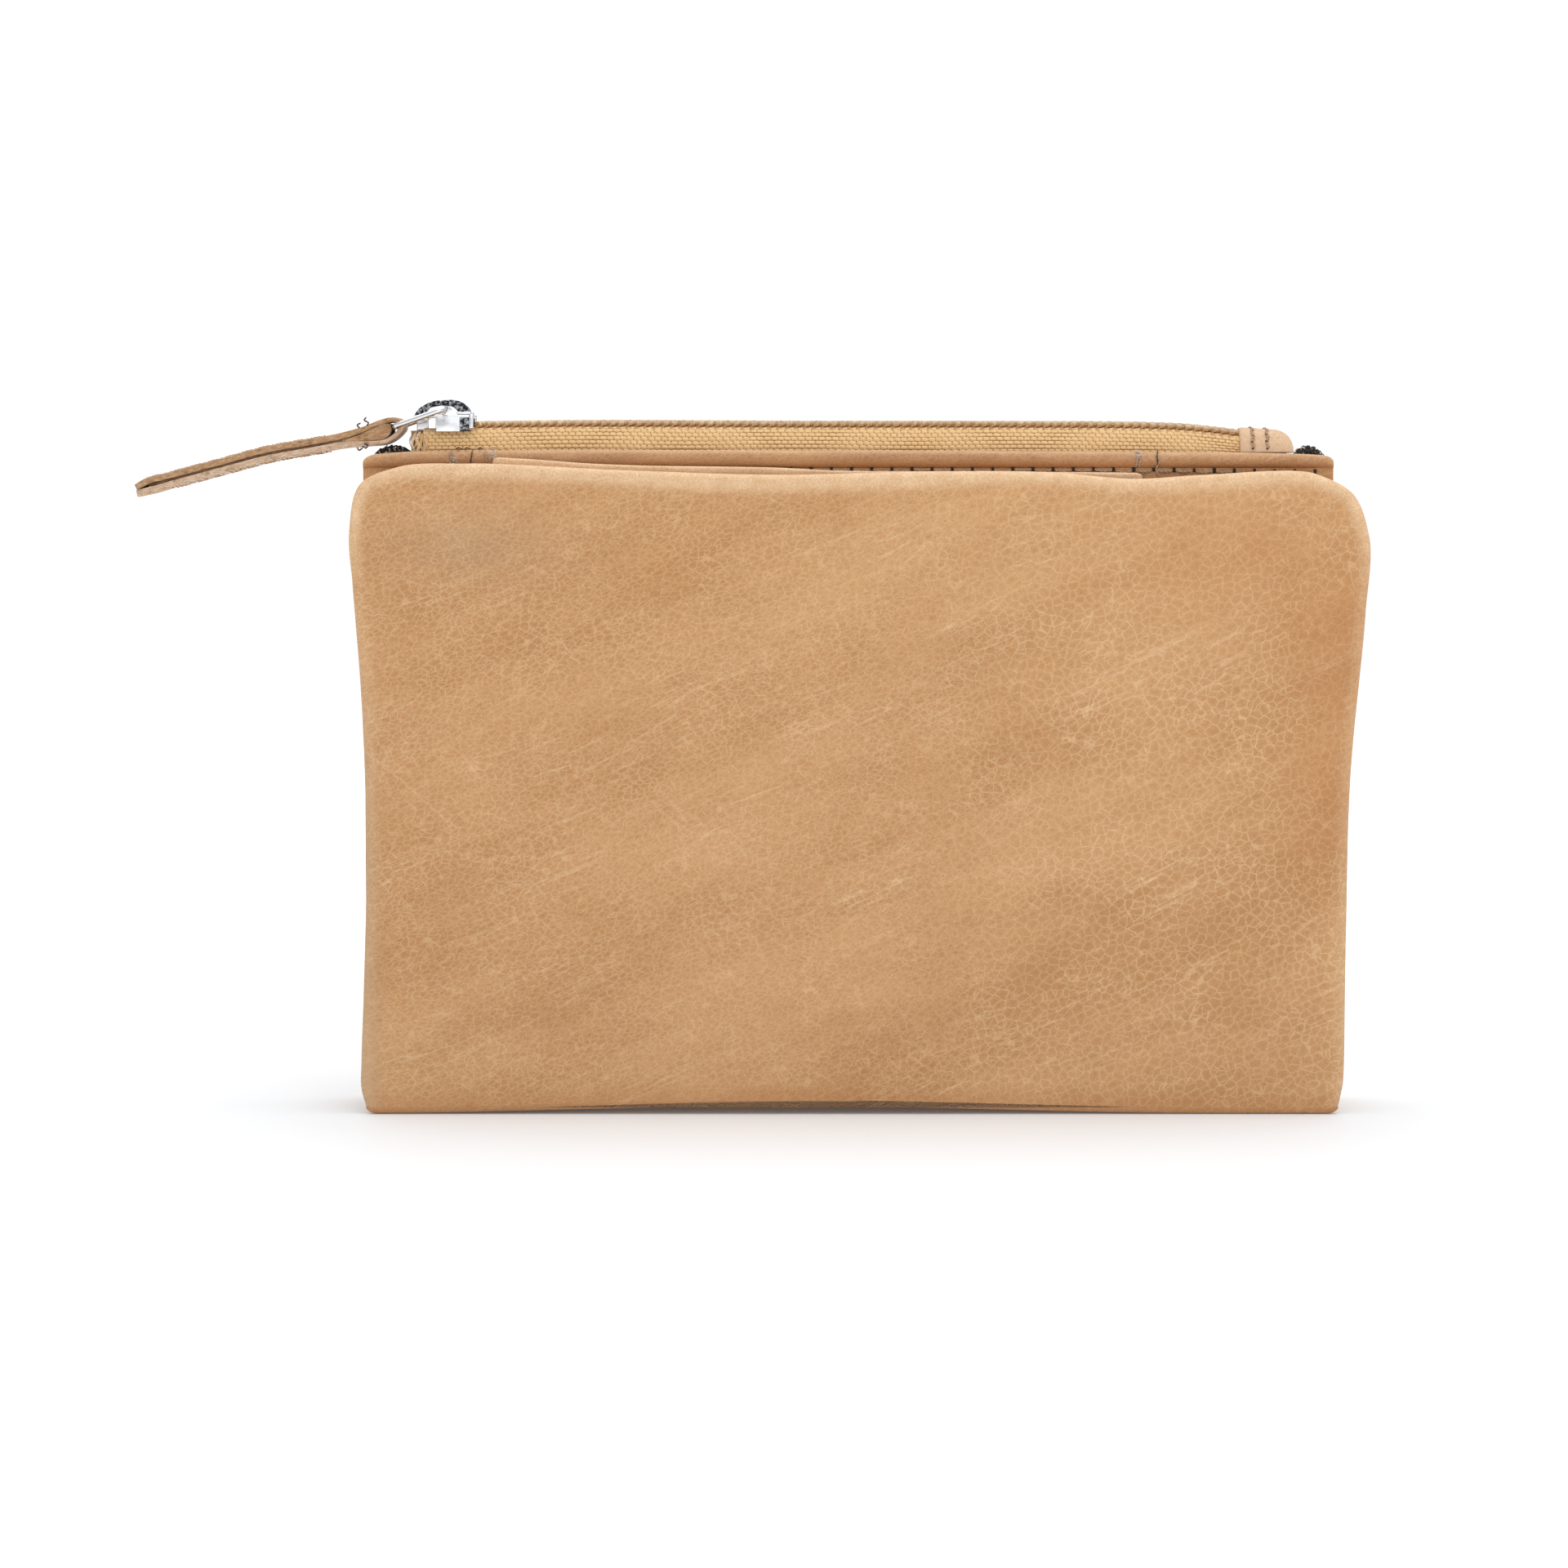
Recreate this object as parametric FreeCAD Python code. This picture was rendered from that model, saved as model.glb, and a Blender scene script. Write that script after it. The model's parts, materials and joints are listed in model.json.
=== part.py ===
import FreeCAD, Part
import os
from math import atan2, degrees

# Bifold leather pouch with a zipped compartment, standing on its spine.
# Millimetres. +X runs along the zip to the right, +Y to the back, +Z up.
# The origin is the centre of the base, on the surface that the pouch stands on.

V = FreeCAD.Vector
Y_AXIS = V(0, 1, 0)

# --- Outline of the covers -------------------------------------------------
COVER_FOOT_LEFT, COVER_FOOT_RIGHT = -84.6, 83.8
COVER_TOP_LEFT, COVER_TOP_RIGHT = -86.3, 88.0
COVER_SHOULDER = 92.0       # height at which the sides reach their full spread
COVER_HEIGHT_LEFT, COVER_HEIGHT_RIGHT = 111.6, 109.8
COVER_TOP_RADIUS = 10.0

# --- Outline of the zipped compartment --------------------------------------
POCKET_LEFT, POCKET_RIGHT = -84.4, 82.5
POCKET_FOOT = 2.4
WALL_TOP = 111.4
STRIP_TOP = 114.1
LINING_TOP = 105.5

# --- Thickness of the layers -------------------------------------------------
LEATHER = 1.3
BOARD = 0.7
LINING = 0.6
SLOT_LAYER = 0.45
SLOT_COUNT = 4
SLOT_INSET = 3.0            # of the card slots from the cover's sides
SLOT_DROP, SLOT_STEP = 12.0, 14.0
SLIP_PANEL = 0.9
WALL = 1.2
TAPE = 0.5
MOUTH_HALF = 4.6            # from the middle of the zip to the inside of the tape
COVER_GAP = 0.8             # air between the front cover and the compartment
NOTE_GAP = 0.6              # banknote gap between the compartment and the back cover

# --- Zip ----------------------------------------------------------------------
ZIP_LEFT, ZIP_RIGHT = -76.2, 66.4
TAPE_FOLD_LENGTH = 2.6
TAPE_FOOT = 106.0
SHOULDER_HALF = 3.3         # half width of the flat top of the two tapes
SHOULDER_TOP = 118.1
COIL_LEFT = -65.6           # under the tail of the slider where it rests
COIL_HALF = 2.9
COIL_HEIGHT = 1.2
COIL_PITCH = 1.53
CHAIN_SLOT = 0.45           # half gap between the two coils, where the post runs

TAIL_RIGHT, TAIL_TOP = 75.0, 117.1
TAB_TOP = 118.2

# --- Slider, ring and strap ----------------------------------------------------
SLIDER_LEFT, SLIDER_RIGHT = -76.0, -65.5
SLIDER_HALF = 4.6
FLANGE = 0.6
TOP_PLATE_FOOT, TOP_PLATE_TOP = 119.75, 120.55
FLANGE_FOOT = 117.4
BOTTOM_PLATE_FOOT, BOTTOM_PLATE_TOP = 116.5, 117.3
BOTTOM_PLATE_HALF = 2.6
POST_HALF, POST_LENGTH = 0.25, 1.6
CROWN_HALF = 1.5
CROWN_TOP = 122.9
RING_PIVOT = V(-70.4, 0, 121.3)
RING_FAR = V(-79.0, 0, 118.3)
WIRE_RADIUS = 0.5
RING_ARM = 6.0
RING_CORNER = 1.5
STRAP_HALF = 4.5
STRAP_LAYER = 1.35
LOOP_LAYER = 0.95           # the leather is pared thin where it turns round the wire
LOOP_BULGE, LOOP_BULGE_AT, LOOP_END = 2.1, 2.5, 8.0
STRAP_TIP = V(-124.3, 0, 107.6)
LOOP_CLEARANCE = 0.15

# --- Hinge of the front cover ----------------------------------------------------
HINGE_INSET = 1.2           # of the hinge axis, from the front face and from the floor
FRONT_COVER_FOOT = 2.0
INNER_LAYER_FOOT = 6.0
FOLD_RADIUS = 0.65
SPINE_TOP = 1.5

# --- Thread ------------------------------------------------------------------------
STITCH_PITCH = 3.4
STITCH_LENGTH = 2.6
THREAD_RADIUS = 0.2

# Distances from the middle plane of the zip to the layers, worked outwards.
wall_inner = MOUTH_HALF + TAPE
wall_outer = wall_inner + WALL
front_slip = wall_outer + SLIP_PANEL
front_slots = front_slip + COVER_GAP
front_lining = front_slots + SLOT_COUNT * SLOT_LAYER
front_board = front_lining + LINING
front_leather = front_board + BOARD
front_face = front_leather + LEATHER
back_lining = wall_outer + NOTE_GAP
back_board = back_lining + LINING
back_leather = back_board + BOARD
back_face = back_leather + LEATHER

zip_y = (front_face - back_face) / 2
half_depth = (front_face + back_face) / 2
hinge_y = -half_depth + HINGE_INSET
hinge_z = HINGE_INSET


def box(x0, x1, y0, y1, z0, z1):
    return Part.makeBox(x1 - x0, y1 - y0, z1 - z0, V(x0, y0, z0))


def extrude_y(points, y0, y1):
    """Solid whose outline in the XZ plane runs through the points (x, z)."""
    outline = [V(x, y0, z) for x, z in points]
    face = Part.Face(Part.makePolygon(outline + outline[:1]))
    return face.extrude(V(0, y1 - y0, 0))


def extrude_x(points, x0, x1):
    """Solid whose outline in the YZ plane runs through the points (y, z)."""
    outline = [V(x0, y, z) for y, z in points]
    face = Part.Face(Part.makePolygon(outline + outline[:1]))
    return face.extrude(V(x1 - x0, 0, 0))


def round_edges(solid, direction, radius, keep):
    """Round the straight edges along a direction whose midpoint passes keep()."""
    chosen = []
    for edge in solid.Edges:
        start, end = edge.Vertexes[0].Point, edge.Vertexes[-1].Point
        along = (end - start).normalize()
        if abs(abs(along.dot(direction)) - 1) < 1e-6 and keep((start + end) / 2):
            chosen.append(edge)
    return solid.makeFillet(radius, chosen)


def front(distance):
    """Y of a plane in front of the zip."""
    return zip_y - distance


def back(distance):
    """Y of a plane behind the zip."""
    return zip_y + distance


def cover_panel(y0, y1, foot, inset):
    """Slab with the outline of a cover, drawn in by inset at the sides and top."""
    top_left, top_right = COVER_HEIGHT_LEFT - inset, COVER_HEIGHT_RIGHT - inset
    points = [
        (COVER_FOOT_LEFT + inset, foot),
        (COVER_FOOT_RIGHT - inset, foot),
        (COVER_TOP_RIGHT - inset, COVER_SHOULDER),
        (COVER_TOP_RIGHT - inset, top_right),
        (COVER_TOP_LEFT + inset, top_left),
        (COVER_TOP_LEFT + inset, COVER_SHOULDER),
    ]
    radius = max(COVER_TOP_RADIUS - inset, 1.0)
    above_shoulder = lambda middle: middle.z > COVER_SHOULDER + 1
    return round_edges(extrude_y(points, y0, y1), Y_AXIS, radius, above_shoulder)


def stitch_row(start, end, pitch=STITCH_PITCH, length=STITCH_LENGTH):
    """Short cylinders of thread along a line."""
    run = end - start
    direction = V(run).normalize()
    count = int(run.Length // pitch)
    first = start + direction * ((run.Length - (count - 1) * pitch - length) / 2)
    return [
        Part.makeCylinder(THREAD_RADIUS, length, first + direction * (i * pitch), direction)
        for i in range(count)
    ]


# --- Cover: front half, spine, back half --------------------------------------------

def front_cover():
    return cover_panel(front(front_face), front(front_leather), FRONT_COVER_FOOT, 0.0)


def front_cover_board():
    return cover_panel(front(front_leather), front(front_board), INNER_LAYER_FOOT, 2.0)


def front_cover_lining():
    return cover_panel(front(front_board), front(front_lining), INNER_LAYER_FOOT, 1.5)


def slot_top(index):
    return COVER_HEIGHT_RIGHT - SLOT_DROP - index * SLOT_STEP


def cover_slot(index):
    """Card slot panel, counted from the lining inwards, each lower than the last."""
    outer = front_lining - index * SLOT_LAYER
    left, right = COVER_FOOT_LEFT + SLOT_INSET, COVER_FOOT_RIGHT - SLOT_INSET
    y0, y1 = front(outer), front(outer - SLOT_LAYER)
    return box(left, right, y0, y1, INNER_LAYER_FOOT, slot_top(index))


def cover_slot_stitching():
    """Stitches down both sides and the middle of the lowest card slot panel."""
    y = front(front_slots) + THREAD_RADIUS * 1.01
    top = slot_top(SLOT_COUNT - 1) - 1.0
    middle = (COVER_FOOT_LEFT + COVER_FOOT_RIGHT) / 2
    rows = []
    for x in (COVER_FOOT_LEFT + 4.5, middle, COVER_FOOT_RIGHT - 4.5):
        rows += stitch_row(V(x, y, INNER_LAYER_FOOT + 1), V(x, y, top))
    return Part.makeCompound(rows)


def cover_spine():
    """Band that the pouch stands on, with the rolled fold that the front cover turns on."""
    band = box(COVER_FOOT_LEFT, COVER_FOOT_RIGHT, hinge_y, half_depth, 0, SPINE_TOP)
    fold = Part.makeCylinder(FOLD_RADIUS, COVER_FOOT_RIGHT - COVER_FOOT_LEFT,
                             V(COVER_FOOT_LEFT, hinge_y, hinge_z), V(1, 0, 0))
    return band.fuse(fold)


def spine_lining():
    left, right = COVER_FOOT_LEFT + 1.5, COVER_FOOT_RIGHT - 1.5
    y0, y1 = hinge_y + 1, back(back_board)
    return box(left, right, y0, y1, SPINE_TOP, SPINE_TOP + LINING)


def back_cover():
    return cover_panel(back(back_leather), back(back_face), SPINE_TOP, 0.0)


def back_cover_board():
    return cover_panel(back(back_board), back(back_leather), SPINE_TOP + LINING, 2.0)


def back_cover_lining():
    return cover_panel(back(back_lining), back(back_board), SPINE_TOP + LINING, 1.5)


# --- Zipped compartment ------------------------------------------------------------------

def pocket_wall(y0, y1):
    return box(POCKET_LEFT, POCKET_RIGHT, y0, y1, POCKET_FOOT, WALL_TOP)


def pocket_bottom_fold():
    y0, y1 = front(wall_inner), back(wall_inner)
    return box(POCKET_LEFT, POCKET_RIGHT, y0, y1, POCKET_FOOT, POCKET_FOOT + 1)


def gusset(x0, x1):
    return box(x0, x1, front(wall_inner), back(wall_inner), POCKET_FOOT + 1, WALL_TOP - 2)


def lining_panel(y0, y1):
    return box(POCKET_LEFT + 1.6, POCKET_RIGHT - 1.6, y0, y1, POCKET_FOOT + 1.6, LINING_TOP)


def slip_pocket_panel():
    """Slip pocket on the front wall; its top edge stands just above the front cover."""
    y0, y1 = front(front_slip), front(wall_outer)
    return box(-62.0, 49.6, y0, y1, POCKET_FOOT + 1, WALL_TOP - 0.8)


def edge_strip(y0, y1):
    """Rolled leather edge on a wall's top, with its outer edges rounded over."""
    solid = box(POCKET_LEFT, POCKET_RIGHT, y0, y1, WALL_TOP, STRIP_TOP)
    return round_edges(solid, V(1, 0, 0), 0.6, lambda middle: middle.z > WALL_TOP + 1)


def edge_stitching(distance, side):
    y = side(distance + THREAD_RADIUS * 1.01)
    z = WALL_TOP - 0.35
    return Part.makeCompound(stitch_row(V(-60.0, y, z), V(80.0, y, z)))


def edge_back_tacks():
    """Upright thread passes over the front strip, where its stitching starts and stops."""
    y = front(wall_outer + 0.3) - THREAD_RADIUS * 1.01
    places = (-69.0, -65.8, -63.4, 49.8, 52.4)
    tacks = [
        Part.makeCylinder(THREAD_RADIUS, 2.0, V(x, y, WALL_TOP + 0.2), V(0, 0, 1))
        for x in places
    ]
    return Part.makeCompound(tacks)


def pocket_side_stitching():
    y = front(wall_outer) - THREAD_RADIUS * 1.01
    rows = []
    for x in (POCKET_LEFT + 2.0, POCKET_RIGHT - 2.0):
        rows += stitch_row(V(x, y, POCKET_FOOT + 2), V(x, y, WALL_TOP - 2))
    return Part.makeCompound(rows)


def lining_overlock(x0, x1, top):
    """Hem of the lining bag, folded up between the end of the zip and the gusset."""
    return box(x0, x1, zip_y - 1.2, zip_y + 1.2, LINING_TOP + 1, top)


# --- Zip ----------------------------------------------------------------------------------

def tape_outline(side):
    """Tape section: up the wall, in over the mouth, then flat under the coil."""
    inner_top = SHOULDER_TOP - TAPE
    return [
        (side(wall_inner), TAPE_FOOT),
        (side(wall_inner), STRIP_TOP + 0.3),
        (side(SHOULDER_HALF), SHOULDER_TOP),
        (side(CHAIN_SLOT), SHOULDER_TOP),
        (side(CHAIN_SLOT), inner_top),
        (side(SHOULDER_HALF - TAPE), inner_top),
        (side(MOUTH_HALF), STRIP_TOP + 0.3),
        (side(MOUTH_HALF), TAPE_FOOT),
    ]


def zip_tape(side):
    return extrude_x(tape_outline(side), ZIP_LEFT + TAPE_FOLD_LENGTH, ZIP_RIGHT)


def zip_tape_fold():
    """Turned-back ends of both tapes, at the closed end of the slider's travel."""
    ends = [
        extrude_x(tape_outline(side), ZIP_LEFT, ZIP_LEFT + TAPE_FOLD_LENGTH)
        for side in (front, back)
    ]
    return Part.makeCompound(ends)


def zip_coil(side):
    """Row of coil turns, drawn as a bar with a notch between the turns."""
    notch = 0.25
    lowest, highest = SHOULDER_TOP + 0.02, SHOULDER_TOP + COIL_HEIGHT
    turns = int((ZIP_RIGHT - COIL_LEFT) // COIL_PITCH)
    profile = [(COIL_LEFT, lowest), (COIL_LEFT + turns * COIL_PITCH, lowest)]
    for i in range(turns, 0, -1):
        right = COIL_LEFT + i * COIL_PITCH
        profile.append((right, highest - notch))
        profile.append((right - COIL_PITCH * 0.3, highest))
        profile.append((right - COIL_PITCH * 0.7, highest))
    profile.append((COIL_LEFT, highest - notch))
    y_low, y_high = sorted((side(CHAIN_SLOT), side(COIL_HALF)))
    return extrude_y(profile, y_low, y_high)


def tent_outline(foot_half, top_half, foot, top):
    return [
        (zip_y - foot_half, foot),
        (zip_y - top_half, top),
        (zip_y + top_half, top),
        (zip_y + foot_half, foot),
    ]


def zip_tail():
    """Tape ends past the coil, brought together under the end tab."""
    return extrude_x(tent_outline(3.6, 1.6, STRIP_TOP + 0.3, TAIL_TOP), ZIP_RIGHT, TAIL_RIGHT)


def zip_end_tab():
    """Leather tab folded over the tail of the zip, open below, round at its free corner."""
    x0, x1 = ZIP_RIGHT + 0.2, TAIL_RIGHT + 0.8
    outer = extrude_x(tent_outline(5.4, 3.4, STRIP_TOP + 0.1, TAB_TOP), x0, x1)
    free_corner = lambda middle: middle.x > x1 - 0.1 and middle.z > TAB_TOP - 0.1
    outer = round_edges(outer, Y_AXIS, 2.8, free_corner)
    inner = extrude_x(tent_outline(4.1, 1.75, STRIP_TOP, TAIL_TOP + 0.1), x0 - 1,
                      TAIL_RIGHT + 0.1)
    return outer.cut(inner)


def end_tab_stitching():
    """Two upright rows of thread on the front slope of the end tab."""
    foot = V(0, zip_y - 5.4, STRIP_TOP + 0.1)
    top = V(0, zip_y - 3.4, TAB_TOP)
    slope = V(top - foot).normalize()
    outward = V(0, -slope.z, slope.y)
    rows = []
    for x in (68.4, 70.9):
        lift = outward * (THREAD_RADIUS * 1.01) + V(x, 0, 0)
        rows += stitch_row(foot + slope * 0.3 + lift, top + lift, pitch=1.35, length=1.1)
    return Part.makeCompound(rows)


# --- Slider ----------------------------------------------------------------------------------

def slider_body():
    """Top plate with side flanges, bottom plate, and the post that joins them."""
    flange_inner = SLIDER_HALF - FLANGE
    solid = box(SLIDER_LEFT, SLIDER_RIGHT, zip_y - SLIDER_HALF, zip_y + SLIDER_HALF,
                TOP_PLATE_FOOT, TOP_PLATE_TOP)
    for low in (-SLIDER_HALF, flange_inner):
        flange = box(SLIDER_LEFT + 4.2, SLIDER_RIGHT, zip_y + low, zip_y + low + FLANGE,
                     FLANGE_FOOT, TOP_PLATE_FOOT)
        solid = solid.fuse(flange)
    bottom = box(SLIDER_LEFT, SLIDER_RIGHT - 1, zip_y - BOTTOM_PLATE_HALF,
                 zip_y + BOTTOM_PLATE_HALF, BOTTOM_PLATE_FOOT, BOTTOM_PLATE_TOP)
    post = box(SLIDER_LEFT + 0.4, SLIDER_LEFT + 0.4 + POST_LENGTH, zip_y - POST_HALF,
               zip_y + POST_HALF, BOTTOM_PLATE_TOP, TOP_PLATE_FOOT)
    solid = solid.fuse(bottom).fuse(post).removeSplitter()
    nose = lambda middle: middle.x < SLIDER_LEFT + 0.1 and middle.z > TOP_PLATE_FOOT
    return round_edges(solid, V(0, 0, 1), 2.5, nose)


def crown_window():
    """Window under the crown's arch, where the wire of the ring runs."""
    points = [
        (SLIDER_LEFT + 1.6, TOP_PLATE_TOP - 0.1),
        (SLIDER_LEFT + 6.6, TOP_PLATE_TOP - 0.1),
        (SLIDER_LEFT + 6.6, CROWN_TOP - 0.9),
        (SLIDER_LEFT + 4.0, CROWN_TOP - 0.9),
        (SLIDER_LEFT + 1.6, CROWN_TOP - 1.6),
    ]
    return extrude_y(points, zip_y - CROWN_HALF - 1, zip_y + CROWN_HALF + 1)


def slider_crown():
    points = [
        (SLIDER_LEFT + 0.3, TOP_PLATE_TOP),
        (SLIDER_RIGHT - 0.2, TOP_PLATE_TOP),
        (SLIDER_RIGHT - 0.6, CROWN_TOP - 1.5),
        (SLIDER_RIGHT - 3.0, CROWN_TOP),
        (SLIDER_LEFT + 3.4, CROWN_TOP),
        (SLIDER_LEFT + 0.6, CROWN_TOP - 1.3),
    ]
    solid = extrude_y(points, zip_y - CROWN_HALF, zip_y + CROWN_HALF)
    return solid.cut(crown_window())


# --- Ring and strap -------------------------------------------------------------------------------

def pull_ring():
    """Rectangular wire ring: one end under the crown, the other in the strap's loop."""
    length = (RING_FAR - RING_PIVOT).Length
    straight = RING_ARM - RING_CORNER
    pieces = []
    for y in (-RING_ARM, RING_ARM):
        arm = Part.makeCylinder(WIRE_RADIUS, length - 2 * RING_CORNER,
                                V(RING_CORNER, y, 0), V(1, 0, 0))
        pieces.append(arm)
    for x in (0, length):
        pieces.append(Part.makeCylinder(WIRE_RADIUS, 2 * straight, V(x, -straight, 0), Y_AXIS))
    corners = [
        (length - RING_CORNER, straight, 0), (RING_CORNER, straight, 90),
        (RING_CORNER, -straight, 180), (length - RING_CORNER, -straight, 270),
    ]
    for x, y, turn in corners:
        bend = Part.makeTorus(RING_CORNER, WIRE_RADIUS, V(0, 0, 0), V(0, 0, 1), 0, 360, 90)
        bend.rotate(V(0, 0, 0), V(0, 0, 1), turn)
        bend.translate(V(x, y, 0))
        pieces.append(bend)
    ring = pieces[0].multiFuse(pieces[1:])
    run = RING_FAR - RING_PIVOT
    ring.rotate(V(0, 0, 0), Y_AXIS, -degrees(atan2(run.z, run.x)))
    ring.translate(RING_PIVOT + V(0, zip_y, 0))
    return ring


def strap_frame():
    """Unit vectors along the strap, away from the ring, and up across it."""
    along = (STRAP_TIP - RING_FAR).normalize()
    return along, V(along.z, 0, -along.x)


def pull_strap():
    """Strip folded round the ring's far wire, its two layers glued face to face."""
    along, up = strap_frame()
    bore = WIRE_RADIUS + LOOP_CLEARANCE
    loop_radius = bore + LOOP_LAYER
    start = RING_FAR + V(0, zip_y - STRAP_HALF, 0)
    width = V(0, 2 * STRAP_HALF, 0)
    loop = Part.makeCylinder(loop_radius, 2 * STRAP_HALF, start, Y_AXIS)
    length = (STRAP_TIP - RING_FAR).Length - STRAP_HALF

    def corner(distance, height):
        return start + along * distance + up * height

    upper = [
        (0, loop_radius), (LOOP_BULGE_AT, LOOP_BULGE), (LOOP_END, STRAP_LAYER),
        (length, STRAP_LAYER),
    ]
    outline = [corner(distance, height) for distance, height in upper]
    outline += [corner(distance, -height) for distance, height in reversed(upper)]
    layers = Part.Face(Part.makePolygon(outline + outline[:1])).extrude(width)
    tip_centre = corner(length, -STRAP_LAYER) + V(0, STRAP_HALF, 0)
    tip = Part.makeCylinder(STRAP_HALF, 2 * STRAP_LAYER, tip_centre, up)
    hole = Part.makeCylinder(bore, 2 * STRAP_HALF + 2, start - V(0, 1, 0), Y_AXIS)
    return loop.fuse(layers).fuse(tip).cut(hole).removeSplitter()


def pull_strap_stitching():
    """Stitches near both edges of the strap, on its upper face."""
    along, up = strap_frame()
    length = (STRAP_TIP - RING_FAR).Length
    rows = []
    for y in (zip_y - STRAP_HALF + 1.2, zip_y + STRAP_HALF - 1.2):
        lift = up * (STRAP_LAYER + THREAD_RADIUS * 1.01) + V(0, y, 0)
        first, last = RING_FAR + along * LOOP_END, RING_FAR + along * (length - 3.0)
        rows += stitch_row(first + lift, last + lift)
    return Part.makeCompound(rows)


def nodes():
    shapes = {
        "front_cover": front_cover(),
        "front_cover_board": front_cover_board(),
        "front_cover_lining": front_cover_lining(),
        "cover_slot_stitching": cover_slot_stitching(),
        "cover_spine": cover_spine(),
        "spine_lining": spine_lining(),
        "back_cover": back_cover(),
        "back_cover_board": back_cover_board(),
        "back_cover_lining": back_cover_lining(),
        "pocket_front_wall": pocket_wall(front(wall_outer), front(wall_inner)),
        "pocket_back_wall": pocket_wall(back(wall_inner), back(wall_outer)),
        "pocket_bottom_fold": pocket_bottom_fold(),
        "gusset_left": gusset(POCKET_LEFT, POCKET_LEFT + 1),
        "gusset_right": gusset(POCKET_RIGHT - 1, POCKET_RIGHT),
        "pocket_lining_front": lining_panel(front(wall_inner), front(MOUTH_HALF)),
        "pocket_lining_back": lining_panel(back(MOUTH_HALF), back(wall_inner)),
        "slip_pocket_panel": slip_pocket_panel(),
        "front_edge_strip": edge_strip(front(wall_outer + 0.3), front(wall_inner)),
        "rear_edge_strip": edge_strip(back(wall_inner), back(wall_outer + 0.3)),
        "front_edge_stitching": edge_stitching(wall_outer, front),
        "rear_edge_stitching": edge_stitching(wall_outer, back),
        "edge_back_tacks": edge_back_tacks(),
        "pocket_side_stitching": pocket_side_stitching(),
        "lining_overlock_left": lining_overlock(-82.7, -76.6, 114.9),
        "lining_overlock_right": lining_overlock(76.3, 81.1, 114.8),
        "zip_tape_front": zip_tape(front),
        "zip_tape_back": zip_tape(back),
        "zip_tape_fold": zip_tape_fold(),
        "zip_coil_front": zip_coil(front),
        "zip_coil_back": zip_coil(back),
        "zip_tail": zip_tail(),
        "zip_end_tab": zip_end_tab(),
        "end_tab_stitching": end_tab_stitching(),
        "slider_body": slider_body(),
        "slider_crown": slider_crown(),
        "pull_ring": pull_ring(),
        "pull_strap": pull_strap(),
        "pull_strap_stitching": pull_strap_stitching(),
    }
    for index in range(SLOT_COUNT):
        shapes[f"cover_slot_{index + 1}"] = cover_slot(index)
    return shapes


def main():
    os.makedirs("parts", exist_ok=True)
    for name, shape in nodes().items():
        shape.exportStep(f"parts/{name}.step")
        low = shape.BoundBox
        print(f"{name:24s} x {low.XMin:8.2f} {low.XMax:8.2f}  y {low.YMin:7.2f} {low.YMax:7.2f}"
              f"  z {low.ZMin:7.2f} {low.ZMax:7.2f}  solids {len(shape.Solids)}"
              f"  valid {shape.isValid()}")
    print(f"hinge y {hinge_y:.3f} z {hinge_z:.3f}  zip y {zip_y:.3f}  half depth {half_depth:.3f}")


main()
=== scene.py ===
import json
import math
import random

import bmesh
import bpy
import numpy as np
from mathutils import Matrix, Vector, noise


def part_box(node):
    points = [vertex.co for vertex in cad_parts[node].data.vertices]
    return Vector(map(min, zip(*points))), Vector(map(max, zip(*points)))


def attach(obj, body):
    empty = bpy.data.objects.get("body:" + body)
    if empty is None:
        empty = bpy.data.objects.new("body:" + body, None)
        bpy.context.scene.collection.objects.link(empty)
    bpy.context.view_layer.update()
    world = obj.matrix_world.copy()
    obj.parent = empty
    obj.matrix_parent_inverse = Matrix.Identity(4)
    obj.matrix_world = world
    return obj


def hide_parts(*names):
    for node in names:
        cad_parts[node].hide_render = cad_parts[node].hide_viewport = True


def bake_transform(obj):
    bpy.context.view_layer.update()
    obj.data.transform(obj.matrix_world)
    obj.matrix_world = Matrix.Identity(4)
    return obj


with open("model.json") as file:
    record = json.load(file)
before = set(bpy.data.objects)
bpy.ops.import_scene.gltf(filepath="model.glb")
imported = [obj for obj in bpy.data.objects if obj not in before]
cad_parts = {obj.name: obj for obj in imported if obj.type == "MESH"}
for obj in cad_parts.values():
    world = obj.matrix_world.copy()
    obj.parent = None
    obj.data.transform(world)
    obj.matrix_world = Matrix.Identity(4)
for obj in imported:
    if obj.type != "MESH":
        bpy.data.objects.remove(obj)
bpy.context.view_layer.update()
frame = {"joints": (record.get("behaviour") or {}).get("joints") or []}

# Looks of a bifold leather pouch with a zipped compartment, standing on its spine.
# Shapes are worked out in millimetres and turned into metres when a piece is made.
# +X runs along the zip to the right, +Y to the back, +Z up.

MM = 0.001
SHARP_ANGLE = math.radians(50)    # faces that meet more steeply keep a hard edge
rng = random.Random(11)


def mm_box(node):
    """Lowest and highest corner of a CAD node, in millimetres."""
    low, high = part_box(node)
    return np.array(low) / MM, np.array(high) / MM


def joint_place(name):
    """Where a joint's axis passes, in millimetres."""
    joint = next(j for j in frame["joints"] if j["name"] == name)
    return np.array(joint["pos_m"]) / MM


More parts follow.
